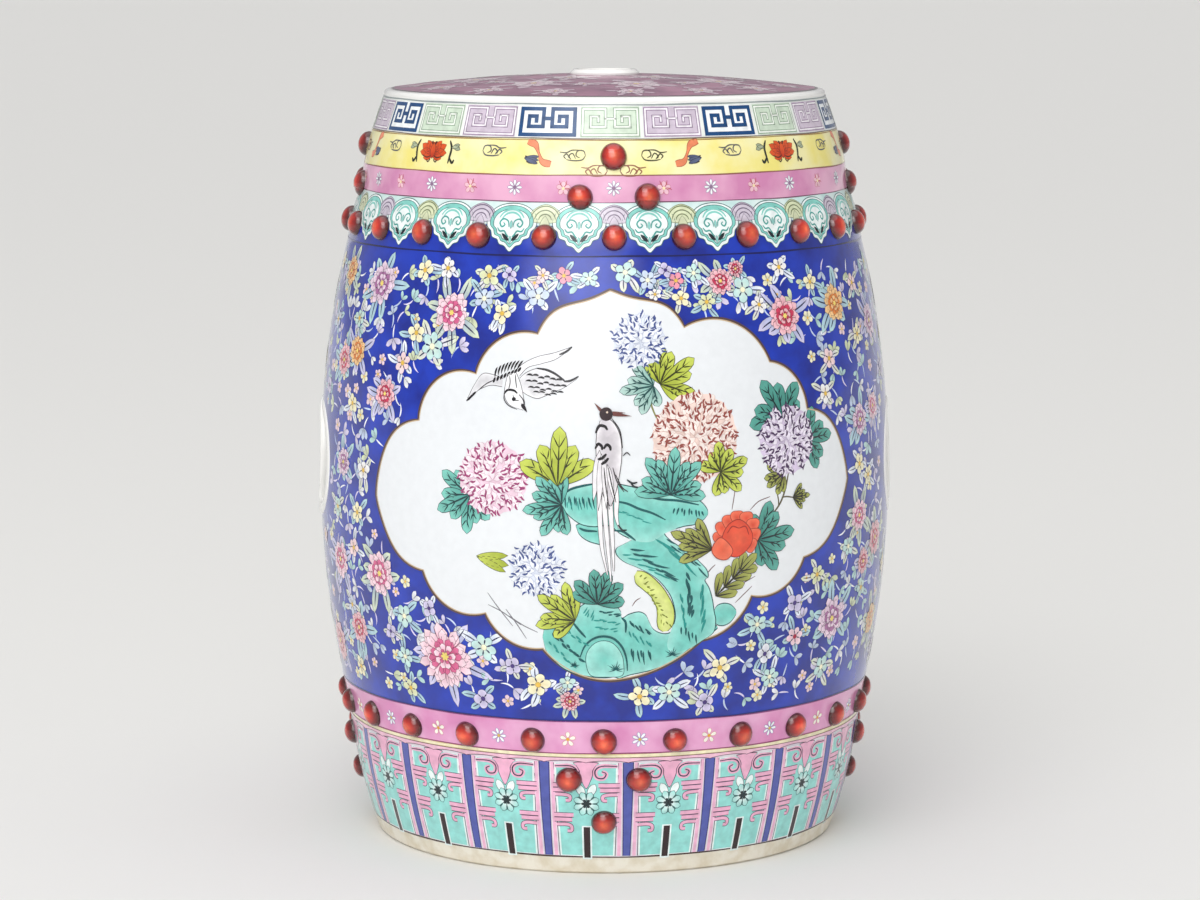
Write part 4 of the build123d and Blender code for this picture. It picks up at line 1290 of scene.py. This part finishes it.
def spray(count, reach, width, at, fill, tip, turn):
    """Leaves fanned about a point, uneven in length and kept between the field's edges, each with a fine
    midrib. They lie below the reserves, which cover what reaches under them."""
    n = np.arange(count)
    aim = turn + n * 2 * np.pi / count + 0.4 * np.sin(7 * n + turn)
    size = reach * (0.78 + 0.22 * np.cos(5 * n + turn))
    base = 0.18 * reach * heading(aim)
    bend = 0.5 * np.sin(3 * n + turn)
    room = np.where(np.sin(aim) > 0, FIELD_TOP - at[1], at[1] - FIELD_FOOT) / abs(np.sin(aim)).clip(0.05)
    size = np.minimum(size, room - 0.18 * reach)
    return [blades(base, aim, size, width, at, fill, tip, FIELD_INK, 0.24, bend=bend, lift=LEAF_LIFT),
            blades(base, aim, size * 0.85, width * 0.14, at, FIELD_INK, line=-1, bend=bend,
                   lift=LEAF_LIFT + LAYER / 2)]


PINKS = (colour(166, 30, 84), colour(226, 110, 156), colour(254, 232, 240), colour(96, 10, 48))
PURPLES = (colour(116, 50, 108), colour(186, 122, 172), colour(246, 226, 240), colour(64, 16, 64))
ORANGES = (colour(206, 84, 30), colour(236, 146, 66), colour(252, 218, 160), colour(120, 40, 14))
REDS = (colour(166, 22, 54), colour(214, 66, 100), colour(252, 210, 218), colour(90, 8, 32))
CREAM, GOLD = colour(250, 246, 212), colour(232, 190, 80)
PINK_WHITE, PLUM = colour(250, 222, 232), colour(70, 50, 120)


def bouquet(middle, peonies, small):
    """Large and small flowers with leaves, given as angle from the middle, height, radius and tints."""
    marks = []
    for k, (angle, height, radius, tints) in enumerate(peonies):
        at = (middle + angle, height)
        marks += spray(7, min(radius * 1.75, radius + 9), min(radius * 0.6, 6.5), at, GREY_BLUE,
                       (PALE_TEAL, PALE_GREEN, PALE_LILAC)[k % 3], 0.7 * k)
        marks += peony(radius, *tints, at, 0.5 * k)
    for k, (angle, height, radius, fill, heart) in enumerate(small):
        at = (middle + angle, height)
        marks += flat_blossom(radius, at, fill, heart, FIELD_INK, 4 if heart is PLUM else 5 + k % 2, 0.9 * k)
        marks += spray(4, radius * 2.0, radius * 0.7, at, (GREY_BLUE, PALE_BLUE, PALE_LILAC)[k % 3],
                       (PALE_TEAL, SNOW, PALE_GREEN)[k % 3], 1.3 * k)
    return marks


ROSY = colour(240, 150, 184)
FACE_PEONIES = ((-56, 344, 13.5, PURPLES), (-34.5, 331, 12.5, PINKS), (37.3, 328, 12, REDS),
                (53.4, 332, 11.5, ORANGES), (-52, 174, 14, PINKS), (-35.6, 130, 20, PINKS),
                (50, 146, 14, PURPLES), (22.4, 350, 8.5, REDS), (-50.5, 281, 9.5, REDS),
                (-62, 137, 10.5, REDS), (58, 205, 10, PINKS), (-62, 303, 10, ORANGES),
                (59, 262, 10, PURPLES), (-9, 108, 6.5, REDS), (61, 176, 8.5, REDS),
                (26.2, 356.5, 5.5, REDS))
FACE_SMALL = ((-42.8, 354, 6.4, CREAM, GOLD), (-36.7, 356, 6, SNOW, GOLD),
              (-26.5, 353, 6.4, PALE_GREEN, GOLD), (-27.2, 340, 6.4, PALE_BLUE, CREAM),
              (-23, 332, 6, CREAM, GOLD), (-38.5, 311, 8.4, PALE_TEAL, CREAM), (-43, 318, 6.4, CREAM, GOLD),
              (37.4, 356, 6, SNOW, GOLD), (46.8, 281, 6, SNOW, GOLD), (-22, 354, 4.6, PALE_LILAC, PLUM),
              (-15.6, 342, 6.4, PALE_BLUE, CREAM), (-14.8, 354, 4.2, PINK_WHITE, GOLD),
              (-10.4, 354, 5, ROSY, GOLD), (-5.2, 352.5, 5, PALE_TEAL, CREAM),
              (2.2, 356, 6.4, PALE_TEAL, CREAM), (6.8, 351.5, 5.6, PALE_BLUE, CREAM),
              (10.6, 357, 4.6, PALE_LILAC, PLUM), (8.2, 343.5, 4, SNOW, GOLD), (12.7, 351, 5, ROSY, GOLD),
              (16.6, 355, 5.4, PALE_TEAL, CREAM), (13.6, 341, 5.2, CREAM, GOLD),
              (19, 338.5, 5.4, PALE_GREEN, GOLD), (27.4, 344.5, 7.4, PALE_TEAL, CREAM),
              (31, 335.5, 5.4, SNOW, GOLD), (46, 346, 5.6, CREAM, GOLD), (-46, 300, 6.4, PINK_WHITE, GOLD),
              (49, 301, 6, PINK_WHITE, GOLD), (39, 139.5, 6.4, PINK_WHITE, REDS[0]),
              (-15.4, 117.5, 7.4, CREAM, GOLD), (-20.5, 128, 5.6, PALE_LILAC, PLUM),
              (5, 111, 6.6, CREAM, GOLD), (11, 113, 7, PALE_TEAL, CREAM), (21.4, 126, 7, CREAM, GOLD),
              (31.6, 131.5, 6, SNOW, PLUM), (38.2, 160, 6.4, PALE_LILAC, PLUM),
              (44, 175, 6, PALE_GREEN, GOLD), (-45.4, 151, 7, PALE_TEAL, CREAM),
              (-26.4, 138, 8, PALE_TEAL, CREAM), (-56.6, 234, 6.4, SNOW, GOLD),
              (-59, 208, 6.4, CREAM, GOLD), (58, 236, 6.4, CREAM, GOLD), (54, 188, 6.2, PALE_TEAL, CREAM),
              (-27.5, 106.5, 6.4, PALE_LILAC, PLUM), (-38.6, 158, 5.4, PALE_LILAC, PLUM),
              (18.7, 105.5, 6, PALE_LILAC, PLUM), (29.2, 150, 6.4, PALE_TEAL, CREAM),
              (-61, 186, 6, PINK_WHITE, GOLD), (61.5, 312, 6.2, CREAM, GOLD),
              (-46, 107, 6, PALE_GREEN, GOLD), (33.4, 117, 6.2, PALE_TEAL, CREAM),
              (48.4, 117, 7, PALE_TEAL, CREAM), (-46.4, 126, 6.4, PALE_TEAL, CREAM),
              (-9.4, 119.5, 4.6, PALE_TEAL, CREAM), (-50, 140, 5, PALE_LILAC, PLUM))
SIDE_PEONIES = ((-3, 332, 13, PINKS), (18, 348, 9.5, ORANGES), (-20, 318, 11, PURPLES), (22, 296, 10, REDS),
                (0, 292, 9, ORANGES), (-24, 268, 9, PINKS), (25, 236, 9, PURPLES), (-23, 188, 11, REDS),
                (22, 176, 12, PINKS), (-2, 158, 12, PURPLES), (-20, 136, 10.5, ORANGES),
                (14, 122, 14, REDS), (-6, 111, 8, PINKS))
SIDE_SMALL = ((8, 352, 6, CREAM, GOLD), (-14, 352, 6.4, PALE_TEAL, GOLD), (-27, 342, 6, PINK_WHITE, GOLD),
              (14, 318, 6.4, PALE_BLUE, GOLD), (-9, 308, 6, CREAM, GOLD), (-14, 288, 5.6, PALE_LILAC, PLUM),
              (13, 278, 6, PALE_LILAC, PLUM), (-28, 228, 6, CREAM, GOLD), (22, 208, 6, PALE_TEAL, GOLD),
              (-14, 168, 6.4, CREAM, GOLD), (11, 186, 5.6, PINK_WHITE, GOLD), (26, 150, 6, PALE_BLUE, GOLD),
              (-29, 160, 6, PALE_TEAL, GOLD), (3, 134, 6, CREAM, GOLD), (-14, 116, 6, PALE_LILAC, PLUM),
              (26, 112, 6.4, CREAM, GOLD), (28, 272, 6, CREAM, GOLD), (27, 322, 6, PALE_TEAL, GOLD))


def keep_off(angle, height):
    """Room in mm that a filler mark has beside the reserves, the coins and the field's edges."""
    face = (angle + 90) % 180 - 90
    across = face * degree
    way = np.arctan2(height - PANEL_CENTRE, across)
    edge_way = np.arctan2(panel_outline[:-1, 1], panel_outline[:-1, 0])
    order = np.argsort(edge_way)
    edge = np.interp(way, edge_way[order], np.hypot(*panel_outline[:-1].T)[order], period=2 * np.pi)
    beside_panel = np.hypot(across, height - PANEL_CENTRE) - edge
    side = (angle % 180 - 90) * degree
    beside_coin = np.hypot(abs(side) - COIN_SPREAD, height - COIN_HEIGHT) - COIN_RADIUS
    return np.minimum.reduce((beside_panel, beside_coin, height - FIELD_FOOT - 0.5, FIELD_TOP - height))


def fillers():
    """Sprigs between the flowers: a staggered grid of small leaves, buds, tiny blossoms and stems, each
    moved a little, left out where it would reach over an edge."""
    angle, height = np.meshgrid(np.arange(-180, 180, 4.5), np.arange(104, 362, 11.7))
    angle = angle + np.where(np.arange(len(height))[:, None] % 2, 2.25, 0.0)
    angle = angle + chance.uniform(-1.3, 1.3, angle.shape)
    height = height + chance.uniform(-3.2, 3.2, height.shape)
    angle, height = angle.ravel(), height.ravel()
    free = keep_off(angle, height) > 7.5
    angle, height = angle[free], height[free]
    kind = chance.integers(0, 5, len(angle))
    turn = chance.uniform(0, 2 * np.pi, len(angle))
    tint = np.array((PALE_TEAL, PALE_LILAC, SNOW, PALE_BLUE, PALE_GREEN, CREAM, PINK_WHITE))
    marks = []
    for k in range(5):
        mine = kind == k
        count = int(mine.sum())
        leaves = (3, 2, 5, 2, 3)[k]
        aim = (turn[mine][:, None] + np.arange(leaves) * (0.9 if leaves < 5 else 2 * np.pi / 5)).ravel()
        at = (np.repeat(angle[mine], leaves), np.repeat(height[mine], leaves))
        pick = chance.integers(5, 7, count) if leaves == 5 else chance.integers(0, 5, count)
        fill = np.repeat(tint[pick], leaves, axis=0)
        size = np.repeat(chance.uniform(5.4, 7.8, count), leaves) * (0.6 if leaves == 5 else 1)
        width = size * (0.78 if leaves == 5 else 0.5)
        marks.append(blades(np.zeros((len(aim), 2)), aim, size, width, at, fill * 0.7, fill, FIELD_INK, 0.2,
                            0.5 * np.sin(aim * 9), 0.6, GROUND_LIFT + LAYER, rows=6))
        if leaves == 5:
            marks.append(discs(np.zeros((count, 2)), lambda t: 0.9 + 0 * t, (angle[mine], height[mine]),
                               GOLD, line=-1, lift=GROUND_LIFT + 1.5 * LAYER, rings=2, steps=8))
        else:
            away = turn[mine] + 0.45 * (leaves - 1)
            marks.append(blades(np.zeros((count, 2)), away + np.pi, 8.5, 1.1, (angle[mine], height[mine]),
                                tint[chance.integers(1, 4, count)], line=-1, bend=1.2 * np.sin(away * 5),
                                full=0.4, lift=GROUND_LIFT + LAYER / 2))
    return marks


for side, where in ((0.0, "front"), (180.0, "back")):
    painted(where + "_field_flowers", bouquet(side, FACE_PEONIES, FACE_SMALL), paint)
for side, where in ((90.0, "right"), (-90.0, "left")):
    painted(where + "_field_flowers", bouquet(side, SIDE_PEONIES, SIDE_SMALL), paint)
painted("field_sprigs", fillers(), paint)


def seat_flowers():
    """Pale flowers on the mauve seat: rings of peonies of three rows of petals over a fan of leaves, with
    waving stems between the rings, whose radius swings as a sine of the turn, and dark edge lines."""
    marks = []
    lap = np.linspace(0, 2 * np.pi, 241)
    for out, swing, waves, half, tint in (
            (62, 5, 8, 0.8, colour(206, 168, 188)), (98, 5, 12, 0.7, colour(198, 158, 180)),
            (128.6, 0, 1, 0.9, colour(70, 26, 48)), (22.4, 0, 1, 0.7, colour(84, 36, 58))):
        reach = out + swing * np.sin(waves * lap)
        spine = (reach[:, None] * heading(lap))[None]
        marks.append(strips(spine, np.full((1, 241), half), (0, 0), tint, lift=GROUND_LIFT + 0.04))
    for count, start, out, size in ((5, 0.4, 43, 12), (8, 0.2, 80, 15), (8, 0.6, 80, 7), (16, 0.1, 112, 9)):
        turn = start + np.arange(count) * 2 * np.pi / count
        for many, reach, wide, dark, light, layer in (
                (6, 1.75, 0.5, colour(150, 104, 130), colour(222, 192, 208), 0.06),
                (12, 1.0, 0.46, colour(176, 84, 128), colour(250, 230, 240), 0.1),
                (9, 0.74, 0.4, colour(186, 92, 136), colour(252, 238, 244), 0.13),
                (5, 0.46, 0.34, colour(198, 104, 146), colour(250, 226, 238), 0.16)):
            aim = (turn[:, None] + 0.3 + np.arange(many) * 2 * np.pi / many).ravel()
            aim = aim + chance.uniform(-0.14, 0.14, count * many)
            length = size * reach * chance.uniform(0.82, 1.08, count * many)
            at = (np.repeat(out * np.cos(turn), many), np.repeat(out * np.sin(turn), many))
            step = layer + 0.02 * np.tile(np.arange(many) / many, count)[:, None, None]
            marks.append(blades(np.zeros((count * many, 2)), aim, length, size * wide, at, dark, light,
                                colour(78, 30, 56), 0.28, full=0.72, lift=GROUND_LIFT + step))
        marks.append(discs(np.zeros((count, 2)), lambda t: size * 0.13 + 0 * t,
                           (out * np.cos(turn), out * np.sin(turn)), colour(246, 216, 120), line=-1,
                           lift=GROUND_LIFT + 0.2, rings=2, steps=10))
    return marks


painted("seat_flowers", seat_flowers(), paint, on_seat)


# Camera, floor and light


def stage_sheet():
    """Flat pale floor all round the object."""
    mesh = bpy.data.meshes.new("studio_floor")
    mesh.from_pydata([(-60, -60, 0), (60, -60, 0), (60, 60, 0), (-60, 60, 0)], [], [(0, 1, 2, 3)])
    mesh.materials.append(plain("pale_floor", colour(232, 231, 228), 0.75)[0])
    piece = bpy.data.objects.new("studio_floor", mesh)
    bpy.context.scene.collection.objects.link(piece)


def lamp(name, place, target, size, power):
    """Soft rectangular light at place, facing target."""
    light = bpy.data.lights.new(name, "AREA")
    light.shape, light.size, light.size_y, light.energy = "RECTANGLE", *size, power
    holder = bpy.data.objects.new(name, light)
    holder.location = place
    away = np.subtract(target, place)
    flat = np.hypot(away[0], away[1])
    holder.rotation_euler = (np.pi / 2 + np.arctan2(away[2], flat), 0, np.arctan2(-away[0], away[1]))
    bpy.context.scene.collection.objects.link(holder)


def soft_room():
    """World light: an even pale room with a broad brighter patch before the object, high up, that fades out
    with the angle from its middle."""
    world = bpy.data.worlds.new("soft_room")
    world.use_nodes = True
    tree = world.node_tree
    way = tree.nodes.new("ShaderNodeTexCoord")
    toward = tree.nodes.new("ShaderNodeVectorMath")
    toward.operation = "DOT_PRODUCT"
    toward.inputs[1].default_value = (-0.2, -0.86, 0.47)
    tree.links.new(way.outputs["Generated"], toward.inputs[0])
    light = ramp(tree, toward.outputs["Value"], (0.3, (0.4, 0.4, 0.405)), (0.88, (0.56,) * 3),
                 (1.0, (3.4,) * 3))
    tree.links.new(light, tree.nodes["Background"].inputs["Color"])
    tree.nodes["Background"].inputs["Strength"].default_value = 1.0
    bpy.context.scene.world = world


def overhead(strength):
    """Broad soft light from straight above."""
    light = bpy.data.lights.new("overhead_light", "SUN")
    light.energy, light.angle = strength, 1.2
    holder = bpy.data.objects.new("overhead_light", light)
    holder.location = (0, 0, 3)
    bpy.context.scene.collection.objects.link(holder)


stage_sheet()
soft_room()
overhead(0.9)
lamp("key_light", (-0.9, -2.2, 3.1), (0, 0, 0.3), (2.4, 1.6), 31)

lens = bpy.data.cameras.new("camera")
lens.sensor_width = 36
lens.lens = LENS * lens.sensor_width
lens.shift_x = -0.0038
camera = bpy.data.objects.new("camera", lens)
camera.location = np.array((DISTANCE * np.sin(TURN), -DISTANCE * np.cos(TURN), EYE)) / 1000
camera.rotation_euler = (np.pi / 2 - PITCH, 0, TURN)
bpy.context.scene.collection.objects.link(camera)
bpy.context.scene.camera = camera
bpy.context.scene.view_settings.view_transform = "Standard"
